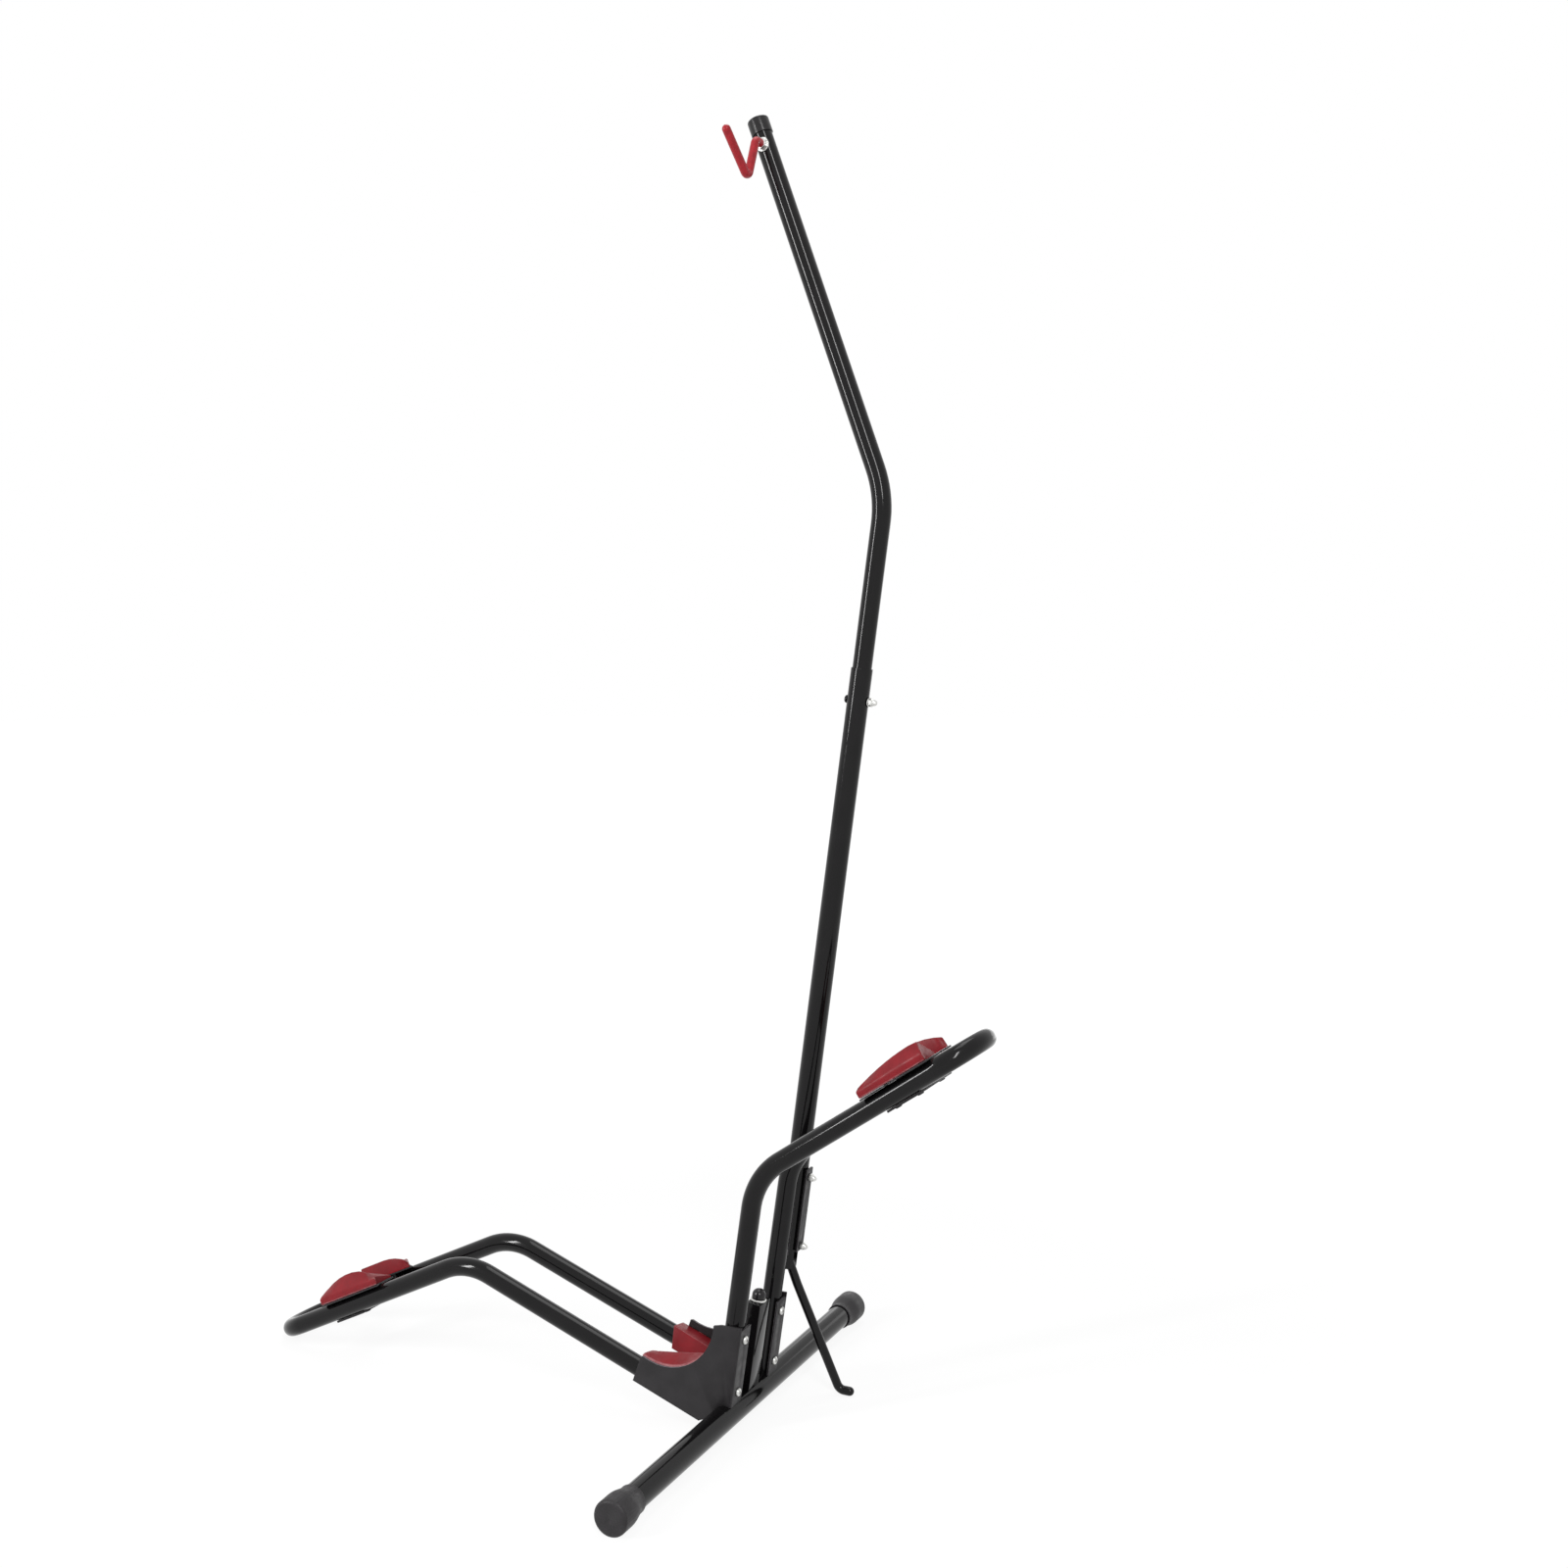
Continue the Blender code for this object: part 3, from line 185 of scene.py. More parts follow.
# The valley pads have sides this short, which would hold the rounding of all their edges down
VALLEY_MERGE = 1.6 * MM
FLAT_ANGLE = math.radians(1.0)
SMOOTH_ANGLE = math.radians(40)
CORNER_ANGLE = 0.5
# Sides shorter than this many times the rounding's radius keep their sharp edges
SHORT_SIDE = 1.6
# The folds of the cheeks: long edges at the outside, behind the legs
FOLD_ANGLE = 0.7
FOLD_LENGTH = 0.05
FOLD_BEHIND = 0.15
FOLD_SLACK = 0.2 * MM
# Faces smaller than this beside a cheek's rounding also take the painted edge highlight
CHEEK_THIN_FACE = 40 * MM * MM

# The stage. Shadows show on the floor near the stand, and give way to plain white further out.
FLOOR_REACH = 30.0
FLOOR_BELOW = 0.2 * MM
SHADOWS_TO = 0.9
WHITE_FROM = 2.4
GLOW_AT_STAND = 0.85
# Lamps: place, point they shine at, width, height, and share of the key lamp's power
LAMPS = {
    "key": ((2.2, -2.6, 2.8), (0.1, 0.0, 0.6), 0.4, 2.4, 1.0),
    "left": ((-1.6, -2.2, 1.65), (0.1, 0.0, 0.9), 0.25, 1.5, 0.65),
    "top": ((0.0, 0.6, 3.4), (0.1, 0.0, 0.5), 1.0, 2.0, 0.28),
    "back": ((0.2, 2.9, 0.66), (0.2, 0.0, 0.66), 2.8, 1.28, 0.18),
}
# The photograph's camera, fitted to the stand's edges
CAMERA_AT = Vector((1.17011, -1.98042, 0.96594))
CAMERA_RIGHT = Vector((0.90974, 0.41512, -0.00951))
CAMERA_AHEAD = Vector((-0.41483, 0.90756, -0.0652))
CAMERA_SENSOR = 36.0
CAMERA_LENS = 39.758


def linear(text):
    """An sRGB hex colour as the linear values that a shader takes."""
    values = [int(text[start:start + 2], 16) / 255 for start in (1, 3, 5)]
    return tuple(v / 12.92 if v <= 0.04045 else ((v + 0.055) / 1.055) ** 2.4 for v in values)


def colour_setting(name, text, description):
    return bpy.props.FloatVectorProperty(name=name, description=description, subtype="COLOR", size=3,
                                         min=0.0, max=1.0, default=linear(text))


def length_setting(name, value, description):
    return bpy.props.FloatProperty(name=name, description=description, default=value, min=0.0,
                                   precision=5, subtype="DISTANCE", unit="LENGTH")


class StandColours(bpy.types.PropertyGroup):
    enamel: colour_setting("Tube enamel", "#0e0d0e", "Gloss black powder coat of the tubes")
    plate: colour_setting("Plate enamel", "#262426", "Satin dark grey powder coat of the plates")
    plastic: colour_setting("Foot plastic", "#2a282a", "Dark grey plastic of the crossbar's feet")
    gloss: colour_setting("Knob plastic", "#131213", "Gloss black plastic of the cap and the knob")
    pad: colour_setting("Pad red", "#80121c", "Moulded red of the wheel pads")
    # The pale rim colour is partly rubbed wear and partly a painted highlight along the pads' edges
    rim: colour_setting("Pad rim", "#ac7478", "Pale, rubbed edges of the wheel pads")
    hook: colour_setting("Hook red", "#a21e28", "Red dip coating of the hook")
    steel: colour_setting("Zinc", "#d9d9d6", "Bright zinc plating of bolts, nuts and washers")


class StandSizes(bpy.types.PropertyGroup):
    hoop_tube: length_setting("Hoop tube", 0.0254, "Outside diameter of the hoops' tube")
    bar_tube: length_setting("Crossbar tube", 0.0318, "Outside diameter of the crossbar")
    mast_tube: length_setting("Mast tube", 0.0286, "Outside diameter of the lower mast tube")
    mast_wall: length_setting("Mast wall", 0.0012, "Wall of the lower mast tube at its open ends")
    head_tube: length_setting("Upper mast tube", 0.0254, "Outside diameter of the upper mast tube")
    hoop_bend: length_setting("Hoop bend", 0.092, "Radius of the bend in each leg of a hoop")
    hoop_turn: length_setting("Hoop turn", 0.0545, "Radius of the round end of a hoop")
    mast_bend: length_setting("Mast bend", 0.15, "Radius of the mast's bend")
    plate_edge: length_setting("Plate edge", 0.0005, "Rounding of the plates' edges")
    cheek_edge: length_setting("Cheek edge", 0.0009, "Rounding of the cheek plates' edges")
    sheet_bend: length_setting("Sheet bend", 0.003, "Outside radius where a cheek's flange is bent")
    pad_edge: length_setting("Pad edge", 0.0026, "Rounding of the pads' edges")
    hook_rod: length_setting("Hook rod", 0.011, "Diameter of the coated hook")
    kick_rod: length_setting("Kickstand rod", 0.012, "Diameter of the kickstand's rod")
    sides: bpy.props.IntProperty(name="Sides", description="Sides of a round tube", default=40, min=8)
    bend_step: bpy.props.FloatProperty(name="Bend step", description="Largest step in a bend",
                                       default=math.radians(3.0), min=0.01, subtype="ANGLE",
                                       unit="ROTATION")


class StandStage(bpy.types.PropertyGroup):
    floor: colour_setting("Floor", "#f4f4f4", "Pale studio floor")
    background: bpy.props.FloatProperty(name="Background", description="Brightness behind the stand",
                                        default=1.0, min=0.0, subtype="FACTOR", max=1.0)
    fill: bpy.props.FloatProperty(name="Fill", description="Strength of the light from all round",
                                  default=0.25, min=0.0)
    lift: bpy.props.FloatProperty(name="Lift", description="How far the floor's own white is raised",
                                  default=1.06, min=0.0)
    key: bpy.props.FloatProperty(name="Key", description="Power of the key lamp", default=68.0,
                                 min=0.0, subtype="POWER", unit="POWER")


# Materials

def node(tree, kind, inputs=None, **settings):
    """Adds a node. Inputs are values, or sockets that it is linked to."""
    made = tree.nodes.new(kind)
    for name, value in settings.items():
        setattr(made, name, value)
    for name, value in (inputs or {}).items():
        if isinstance(value, bpy.types.NodeSocket):
            tree.links.new(value, made.inputs[name])
        else:
            made.inputs[name].default_value = value
    return made


def rgba(colour, share=1.0):
    return (*(channel * share for channel in colour), 1.0)


def blotches(tree, place, size, low=0.0, high=1.0):
    """Soft noise of a real size, spread between two values."""
    noise = node(tree, "ShaderNodeTexNoise", {"Vector": place, "Scale": 1.0 / size, "Detail": 3.0})
    spread = {"Value": noise.outputs["Fac"], "From Min": 0.35, "From Max": 0.65, "To Min": low,
              "To Max": high}
    return node(tree, "ShaderNodeMapRange", spread).outputs[0]


def mottle(tree, place, size, colour, dark=1.0, light=1.0):
    """A colour that wanders between two shares of itself, in blotches of a real size."""
    blend = {0: blotches(tree, place, size), 6: rgba(colour, dark), 7: rgba(colour, light)}
    return node(tree, "ShaderNodeMix", blend, data_type="RGBA").outputs[2]


def rubbed_and_highlit(tree, place, size, low, high, body, bare):
    """A body colour that a paler one breaks through, in blotches, on marked edges: a painted highlight,
    and on the pads partly rubbed wear too.
    """
    edge = node(tree, "ShaderNodeAttribute", attribute_name="edge").outputs["Fac"]
    worn_and_highlit = node(tree, "ShaderNodeMath", {0: edge, 1: blotches(tree, place, size, low, high)},
                operation="MULTIPLY").outputs[0]
    return node(tree, "ShaderNodeMix", {0: worn_and_highlit, 6: body, 7: bare}, data_type="RGBA").outputs[2]


def grain(tree, shader, place, size, depth, strength=0.5, detail=2.0):
    """Fine relief of a real size and depth, led to the shader's normal."""
    noise = node(tree, "ShaderNodeTexNoise", {"Vector": place, "Scale": 1.0 / size, "Detail": detail})
    bump = node(tree, "ShaderNodeBump", {"Height": noise.outputs["Fac"], "Distance": depth,
                                         "Strength": strength})
    tree.links.new(bump.outputs["Normal"], shader.inputs["Normal"])


def coat(tree, shader, colour, roughness):
    tree.links.new(colour, shader.inputs["Base Color"])
    tree.links.new(roughness, shader.inputs["Roughness"])


def gloss_powder_coat(tree, shader, place, colours):
    """Baked gloss powder coat: deep black, clear highlights that ripple with a fine orange peel."""
    shader.inputs["IOR"].default_value = 1.31
    coat(tree, shader, mottle(tree, place, 30 * MM, colours.enamel, light=1.35),
         blotches(tree, place, 14 * MM, 0.08, 0.14))
    grain(tree, shader, place, 2.2 * MM, 0.02 * MM, detail=1.0)


def satin_powder_coat(tree, shader, place, colours):
    """Satin powder coat on sheet steel: dark grey, soft highlights, and a painted highlight on the
    marked edges, which are much paler.
    """
    shader.inputs["IOR"].default_value = 1.35
    body = mottle(tree, place, 22 * MM, colours.plate, dark=0.85, light=1.15)
    # Painted highlight: the marked edges of the plates take a colour eleven times paler than the plate
    coat(tree, shader, rubbed_and_highlit(tree, place, 5 * MM, 0.5, 0.9, body, rgba(colours.plate, 11.0)),
         blotches(tree, place, 9 * MM, 0.38, 0.5))
    grain(tree, shader, place, 0.9 * MM, 0.04 * MM, strength=0.6)


def moulded_polypropylene(tree, shader, place, colours):
    """Moulded polypropylene of the feet: satin, with fine ridges along the foot from its mould."""
    shader.inputs["IOR"].default_value = 1.38
    coat(tree, shader, mottle(tree, place, 16 * MM, colours.plastic, dark=0.8, light=1.2),
         blotches(tree, place, 8 * MM, 0.42, 0.55))
    # The ridges are 2.4 mm apart and run along Y, so the pattern is drawn out that way
    drawn_out = node(tree, "ShaderNodeMapping", {"Vector": place, "Scale": (1.0, 0.04, 1.0)})
    grain(tree, shader, drawn_out.outputs[0], 2.4 * MM, 0.35 * MM, strength=0.9, detail=0.0)


def polished_abs(tree, shader, place, colours):
    """Polished ABS of the knob and the mast's cap: near black, sharp highlights, faint scuffs."""
    shader.inputs["IOR"].default_value = 1.4
    coat(tree, shader, mottle(tree, place, 9 * MM, colours.gloss, light=1.6),
         blotches(tree, place, 3 * MM, 0.2, 0.3))
    grain(tree, shader, place, 1.2 * MM, 0.01 * MM)


def black_oxide(tree, shader, place, colours):
    """Black oxide on the clamp's and the pads' screws: dark, a little metallic, with a dry sheen."""
    shader.inputs["Metallic"].default_value = 0.6
    coat(tree, shader, mottle(tree, place, 5 * MM, colours.gloss, dark=2.0, light=4.0),
         blotches(tree, place, 2 * MM, 0.35, 0.5))
    grain(tree, shader, place, 0.6 * MM, 0.02 * MM)


def moulded_urethane(tree, shader, place, colours):
    """Moulded urethane of the pads: deep red, soft gloss, and pale marked edges that are partly rubbed
    wear and partly a painted highlight.
    """
    shader.inputs["IOR"].default_value = 1.35
    body = mottle(tree, place, 18 * MM, colours.pad, dark=0.88, light=1.12)
    # The pale rim colour on the marked edges is partly rubbed wear and partly a painted highlight
    coat(tree, shader, rubbed_and_highlit(tree, place, 6 * MM, 0.35, 0.8, body, rgba(colours.rim)),
         blotches(tree, place, 7 * MM, 0.36, 0.5))
    # A leathery skin of cells 1.1 mm wide, from the mould
    cells = node(tree, "ShaderNodeTexVoronoi", {"Vector": place, "Scale": 1.0 / (1.1 * MM)})
    skin = node(tree, "ShaderNodeBump", {"Height": cells.outputs["Distance"], "Distance": 0.03 * MM,
                                         "Strength": 0.4})
    tree.links.new(skin.outputs["Normal"], shader.inputs["Normal"])


def dip_coating(tree, shader, place, colours):
    """Plastisol dip coating of the hook: thick, soft gloss red, a little uneven where it ran."""
    shader.inputs["IOR"].default_value = 1.35
    coat(tree, shader, mottle(tree, place, 12 * MM, colours.hook, dark=0.85, light=1.15),
         blotches(tree, place, 6 * MM, 0.3, 0.42))
    grain(tree, shader, place, 4.0 * MM, 0.08 * MM, detail=1.0)


def bright_zinc(tree, shader, place, colours):
    """Bright zinc plating: clean, pale metal with a faint cloudy haze and drawing marks."""
    shader.inputs["Metallic"].default_value = 1.0
    coat(tree, shader, mottle(tree, place, 4 * MM, colours.steel, dark=0.82),
         blotches(tree, place, 2 * MM, 0.28, 0.42))
    grain(tree, shader, place, 0.5 * MM, 0.01 * MM)


# The finish of each material slot
FINISHES = {
    "black_enamel": gloss_powder_coat,
    "dark_plate": satin_powder_coat,
    "dark_plastic": moulded_polypropylene,
    "gloss_plastic": polished_abs,
    "black_screw": black_oxide,
    "red_pad": moulded_urethane,
    "red_coating": dip_coating,
    "bright_steel": bright_zinc,
}


def material(slot, colours):
    """The material of a slot, made by its finish the first time that it is asked for."""
    finish = FINISHES[slot]
    made = bpy.data.materials.get(finish.__name__)
    if made is None:
        made = bpy.data.materials.new(finish.__name__)
        made.use_nodes = True
        tree = made.node_tree
        place = node(tree, "ShaderNodeTexCoord").outputs["Object"]
        finish(tree, tree.nodes["Principled BSDF"], place, colours)
    return made


# Mesh helpers

def edges_of(made):
    return [item for item in made if isinstance(item, bmesh.types.BMEdge)]


def verts_of(made):
    return [item for item in made if isinstance(item, bmesh.types.BMVert)]


def edges_at(verts):
    """The edges that meet some vertices, each one once."""
    return list(dict.fromkeys(edge for vert in verts for edge in vert.link_edges))


def facing(start, axis):
    """A frame at a place, with its Z along an axis."""
    return Matrix.Translation(start) @ Vector(axis).to_track_quat("Z", "Y").to_matrix().to_4x4()


def ring_centre(edges):
    verts = {vert for edge in edges for vert in edge.verts}
    return sum((vert.co for vert in verts), Vector()) / len(verts)


def ring(bm, radius, sides, place):
    made = bmesh.ops.create_circle(bm, cap_ends=False, radius=radius, segments=sides, matrix=place)
    return edges_at(made["verts"])


def drag(bm, edges, step, size=1.0):
    """Extrudes a ring of edges by a step and sizes the new ring about its middle."""
    made = bmesh.ops.extrude_edge_only(bm, edges=edges)["geom"]
    verts = verts_of(made)
    bmesh.ops.translate(bm, verts=verts, vec=step)
    if size != 1.0:
        centre = ring_centre(edges_of(made))
        bmesh.ops.scale(bm, verts=verts, vec=(size,) * 3, space=Matrix.Translation(-centre))
    return edges_of(made)


def pipe(corners, bends, radius, sizes):
    """A round skin along straight runs with rounded corners. Gives its mesh and its two end rings."""
    corners = [Vector(corner) for corner in corners]
    bm = bmesh.new()
    place = facing(corners[0], (corners[1] - corners[0]).normalized())
    first = last = ring(bm, radius, sizes.sides, place)
    here = corners[0]
    for corner, after, bend in zip(corners[1:], corners[2:], bends):
        into = (corner - here).normalized()
        out = (after - corner).normalized()
        angle = into.angle(out)
        setback = bend * math.tan(angle / 2)
        last = drag(bm, last, corner - into * setback - here)
        side = (out - into * into.dot(out)).normalized()
        made = bmesh.ops.spin(bm, geom=last, cent=corner - into * setback + side * bend,
                              axis=into.cross(out).normalized(), dvec=(0, 0, 0), angle=angle,
                              steps=max(3, round(angle / sizes.bend_step)), use_duplicate=False)
        last = edges_of(made["geom_last"])
        here = corner + out * setback
    last = drag(bm, last, corners[-1] - here)
    return bm, first, last


def close_ends(bm, ends):
    """Fills a mesh's open ends, and turns all its faces outwards."""
    for end in ends:
        bmesh.ops.edgeloop_fill(bm, edges=end)
    bmesh.ops.recalc_face_normals(bm, faces=bm.faces)


def dome(bm, edges, outwards, radius, steps=5):
    """Closes a rod's end with a half ball."""
    before = 0.0
    for step in range(1, steps):
        angle = math.pi / 2 * step / steps
        rise = radius * (math.sin(angle) - math.sin(before))
        edges = drag(bm, edges, outwards * rise, math.cos(angle) / math.cos(before))
        before = angle
    pole = ring_centre(edges) + outwards * radius * (1 - math.sin(before))
    edges = drag(bm, edges, Vector())
    bmesh.ops.pointmerge(bm, verts=list({v for edge in edges for v in edge.verts}), merge_co=pole)


def open_end(bm, edges, inwards, radius, wall, depth):
    """Turns a tube's end inwards: a rounded rim, and a stretch of the bore."""
    soft = wall / 4
    edges = drag(bm, edges, inwards * -soft, (radius - soft) / radius)
    edges = drag(bm, edges, Vector(), (radius - wall + soft) / (radius - soft))
    edges = drag(bm, edges, inwards * soft, (radius - wall) / (radius - wall + soft))
    return drag(bm, edges, inwards * depth)


def quarter(start, end, steps):
    """The points after the first of a quarter turn in a profile, which leaves the first upright."""
    angles = [math.pi / 2 * step / steps for step in range(1, steps + 1)]
    return [(end[0] + (start[0] - end[0]) * math.cos(angle),
             start[1] + (end[1] - start[1]) * math.sin(angle)) for angle in angles]


def lathe(profile, sides, place):
    """Radius and height pairs turned about Z and put in place."""
    bm = bmesh.new()
    verts = [bm.verts.new((radius, 0.0, height)) for radius, height in profile]
    edges = [bm.edges.new(pair) for pair in zip(verts, verts[1:])]
    bmesh.ops.spin(bm, geom=verts + edges, cent=(0, 0, 0), axis=(0, 0, 1), dvec=(0, 0, 0),
                   angle=math.tau, steps=sides, use_merge=True, use_duplicate=False)
    bmesh.ops.remove_doubles(bm, verts=bm.verts, dist=0.001 * MM)
    bmesh.ops.transform(bm, matrix=place, verts=bm.verts)
    return bm


def turned(profile, sides, place):
    """A lathed skin with all its faces turned outwards."""
    bm = lathe(profile, sides, place)
    bmesh.ops.recalc_face_normals(bm, faces=bm.faces)
    return bm


def bevel(bm, edges, size, segments):
    return bmesh.ops.bevel(bm, geom=edges, offset=size, offset_type="OFFSET", affect="EDGES",
                           segments=segments, profile=0.5, material=-1, clamp_overlap=True)


def hexagon(bm, width, height, place):
    """Adds a six sided block with rounded corners, for nuts."""
    made = bmesh.ops.create_circle(bm, cap_ends=True, radius=width / math.sqrt(3), segments=6,
                                   matrix=place)
    face = made["verts"][0].link_faces[0]
    grown = bmesh.ops.extrude_face_region(bm, geom=[face], use_keep_orig=True)["geom"]
    up = (place.to_3x3() @ Vector((0, 0, 1))) * height
    bmesh.ops.translate(bm, verts=verts_of(grown), vec=up)
    bevel(bm, edges_at(made["verts"] + verts_of(grown)), NUT_CORNER, 2)


def join(bm, other):
    """Takes another mesh into this one."""
    carrier = bpy.data.meshes.new("carrier")
    other.to_mesh(carrier)
    other.free()
    bm.from_mesh(carrier)
    bpy.data.meshes.remove(carrier)


def block(corner, opposite, place):
    """A box between two opposite corners in a frame."""
    bm = bmesh.new()
    middle = (Vector(corner) + Vector(opposite)) / 2
    size = [abs(end - start) for start, end in zip(corner, opposite)]
    matrix = place @ Matrix.Translation(middle) @ Matrix.Diagonal((*size, 1.0))
    bmesh.ops.create_cube(bm, size=1.0, matrix=matrix)
    return bm


def carve(bm, cutters):
    """Cuts other meshes out of a mesh. It uses them all up and gives a new one."""
    holders = []
    for source in [bm] + cutters:
        mesh = bpy.data.meshes.new("carving")
        bmesh.ops.recalc_face_normals(source, faces=source.faces)
        source.to_mesh(mesh)
        source.free()
        holder = bpy.data.objects.new("carving", mesh)
        bpy.context.scene.collection.objects.link(holder)
        holders.append(holder)
    for cutter in holders[1:]:
        step = holders[0].modifiers.new("cut", "BOOLEAN")
        step.operation = "DIFFERENCE"
        step.solver = "EXACT"
        step.object = cutter
    evaluated = holders[0].evaluated_get(bpy.context.evaluated_depsgraph_get())
    carved = bmesh.new()
    carved.from_mesh(evaluated.to_mesh())
    for holder in holders:
        mesh = holder.data
        bpy.data.objects.remove(holder)
        bpy.data.meshes.remove(mesh)
    return carved


def finish_piece(bm, name, slot, colours, nodes, body="stand_frame"):
    """Makes a mesh a piece that rides on its body and stands for CAD nodes."""
    mesh = bpy.data.meshes.new(name)
    bm.to_mesh(mesh)
    bm.free()
    mesh.shade_smooth()
    mesh.set_sharp_from_angle(angle=SMOOTH_ANGLE)
    mesh.materials.append(material(slot, colours))
    piece = bpy.data.objects.new(name, mesh)
    bpy.context.scene.collection.objects.link(piece)
    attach(piece, body)
    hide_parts(*nodes)


def sharp_edges(bm, angle):
    return [edge for edge in bm.edges if edge.is_manifold and edge.calc_face_angle() > angle]


def faces_down(normal):
    return normal.z < -0.2


def faces_up_and_out(normal):
    return normal.z > 0.1 and normal.y < -0.25


def faces_anywhere(normal):
    return True


def rounded_copy(name, radius, segments=3, merge=MERGE, worn_and_highlit=faces_down, thin_face=0.0, fold=None,
                 fold_radius=0.0):
    """A merged copy of a CAD node with rounded edges, and with a wider bend where it is folded.

    Rounding whose normal passes the given test is marked for the pale edge colour, which is a painted
    highlight, and on the pads partly rubbed wear too, unless it meets a face that is larger than
    thin_face.
    """
    bm = bmesh.new()
    bm.from_mesh(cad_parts[name].data)
    bmesh.ops.remove_doubles(bm, verts=bm.verts, dist=merge)
    bmesh.ops.dissolve_limit(bm, angle_limit=FLAT_ANGLE, verts=bm.verts, edges=bm.edges)
    mark = bm.verts.layers.float.new("edge")
    if fold is not None:
        bevel(bm, [edge for edge in sharp_edges(bm, FOLD_ANGLE) if fold(edge)], fold_radius, 5)
    # Screw holes have short sides, which would hold the rounding of all the edges down
    short = [edge for edge in bm.edges if edge.calc_length() < SHORT_SIDE * radius]
    fine = {vert for edge in short for vert in edge.verts}
    chosen = [edge for edge in sharp_edges(bm, CORNER_ANGLE) if fine.isdisjoint(edge.verts)]
    rounding = set(bevel(bm, chosen, radius, segments)["faces"])
    bm.normal_update()
    # Mark the rounding for the pale edge colour: a painted highlight, and on the pads partly rubbed wear
    for vert in {vert for face in rounding for vert in face.verts}:
        if worn_and_highlit(vert.normal) and all(face in rounding or face.calc_area() < thin_face
                                     for face in vert.link_faces):
            vert[mark] = 1.0
    return bm


def along(name, axis):
    """A frame at the low end of a round CAD node, with Z along its axis, and its size in it."""
    turn = Vector(axis).to_track_quat("Z", "Y").to_matrix()
    back = turn.transposed()
    spots = [back @ vert.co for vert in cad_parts[name].data.vertices]
    low = Vector([min(spot[i] for spot in spots) for i in range(3)])
    high = Vector([max(spot[i] for spot in spots) for i in range(3)])
    start = turn @ Vector(((low.x + high.x) / 2, (low.y + high.y) / 2, low.z))
    return facing(start, axis), high - low


# Fasteners

def screw_mesh(name, axis, shank, head, head_height, socket):
    """A screw with a domed head, a hexagon socket and a plain shank, head towards the axis."""
    place, size = along(name, axis)
    shank_radius, head_radius = shank / 2, head / 2
    seat = size.z - head_height
    shoulder = (head_radius, seat + HEAD_EDGE)
    profile = [(0.0, 0.0), (shank_radius - SHANK_EDGE, 0.0), (shank_radius, SHANK_EDGE),
               (shank_radius, seat), (head_radius - SEAT_EDGE, seat), shoulder]
    bm = lathe(profile + quarter(shoulder, (HEAD_FLAT * head_radius, size.z), 6), 30, place)
    # The flat ring between the head's round edge and the socket
    outer = [edge for edge in bm.edges if edge.is_boundary]
    inner = ring(bm, socket / math.sqrt(3), 6, place @ Matrix.Translation((0, 0, size.z)))
    bmesh.ops.bridge_loops(bm, edges=outer + inner)
    down = place.to_3x3() @ Vector((0, 0, -SOCKET_DEPTH * head_height))
    close_ends(bm, [drag(bm, inner, down)])
    return bm


def nut_mesh(name, axis, width, bore, domed=False):
    """A hexagon nut: a cap nut with a dome, or an open one with the bolt's end in its bore."""
    place, size = along(name, axis)
    height = size.z
    base = CAP_NUT_BASE * height if domed else height
    bm = bmesh.new()
    hexagon(bm, width, base, place)
    if domed:
        profile = [(CAP_NUT_FLANGE * width, base - CAP_NUT_SINK),
                   (CAP_NUT_SHOULDER * width, base + CAP_NUT_RIM),
                   *quarter((CAP_NUT_DOME * width, base), (0.0, height), 8)]
    else:
        face = height + NUT_FACE
        edge = NUT_FACE_RADIUS * width
        bolt_end = height - BOLT_END_BELOW
        profile = [(edge, height - 0.1 * MM), (edge, face), (bore / 2 + BORE_CHAMFER, face),
                   (bore / 2 + 0.1 * MM, bolt_end), (0.0, bolt_end)]
    join(bm, lathe(profile, 30, place))
    bmesh.ops.recalc_face_normals(bm, faces=bm.faces)
    return bm


def washer_mesh(name, axis, bore):
    """A flat ring with softened edges, as wide and as thick as its CAD node."""
    place, size = along(name, axis)
    inner, outer, height = bore / 2, size.x / 2, size.z
    soft = height / 4
    profile = [(inner, soft), (inner + soft, 0.0), (outer - soft, 0.0), (outer, soft),
               (outer, height - soft), (outer - soft, height), (inner + soft, height),
               (inner, height - soft), (inner, soft)]
    return turned(profile, 36, place)


# Operators, one for each piece or group of like pieces

class StandOperator:
    """What the operators of the pieces share: execute hands the settings to make"""
    bl_options = {"REGISTER", "UNDO"}

    def execute(self, context):
        self.make(context.scene.stand_sizes, context.scene.stand_colours)
        return {"FINISHED"}


class STAND_OT_hoops(StandOperator, bpy.types.Operator):
    """Bend the two hoops of gloss black tube"""
    bl_idname = "stand.hoops"
    bl_label = "Hoops"

    def make(self, sizes, colours):
        bends = (sizes.hoop_bend, sizes.hoop_turn, sizes.hoop_turn, sizes.hoop_bend)
        for name, heel, corner, length, angle, way in (
                ("lower_hoop", LOWER_HEEL, LOWER_CORNER, LOWER_TIP_LENGTH, LOWER_TIP_ANGLE, -1),
                ("upper_hoop", UPPER_HEEL, UPPER_CORNER, UPPER_TIP_LENGTH, UPPER_TIP_ANGLE, 1)):
            tip = (corner[0] + way * length * math.cos(angle),
                   corner[1] + way * length * math.sin(angle))
            near = [(x, -HOOP_HALF_WIDTH, z) for x, z in (heel, corner, tip)]
            far = [(x, HOOP_HALF_WIDTH, z) for x, z in (tip, corner, heel)]
            bm, first, last = pipe(near + far, bends, sizes.hoop_tube / 2, sizes)
            close_ends(bm, (first, last))
            finish_piece(bm, name + "_tube", "black_enamel", colours, [name])


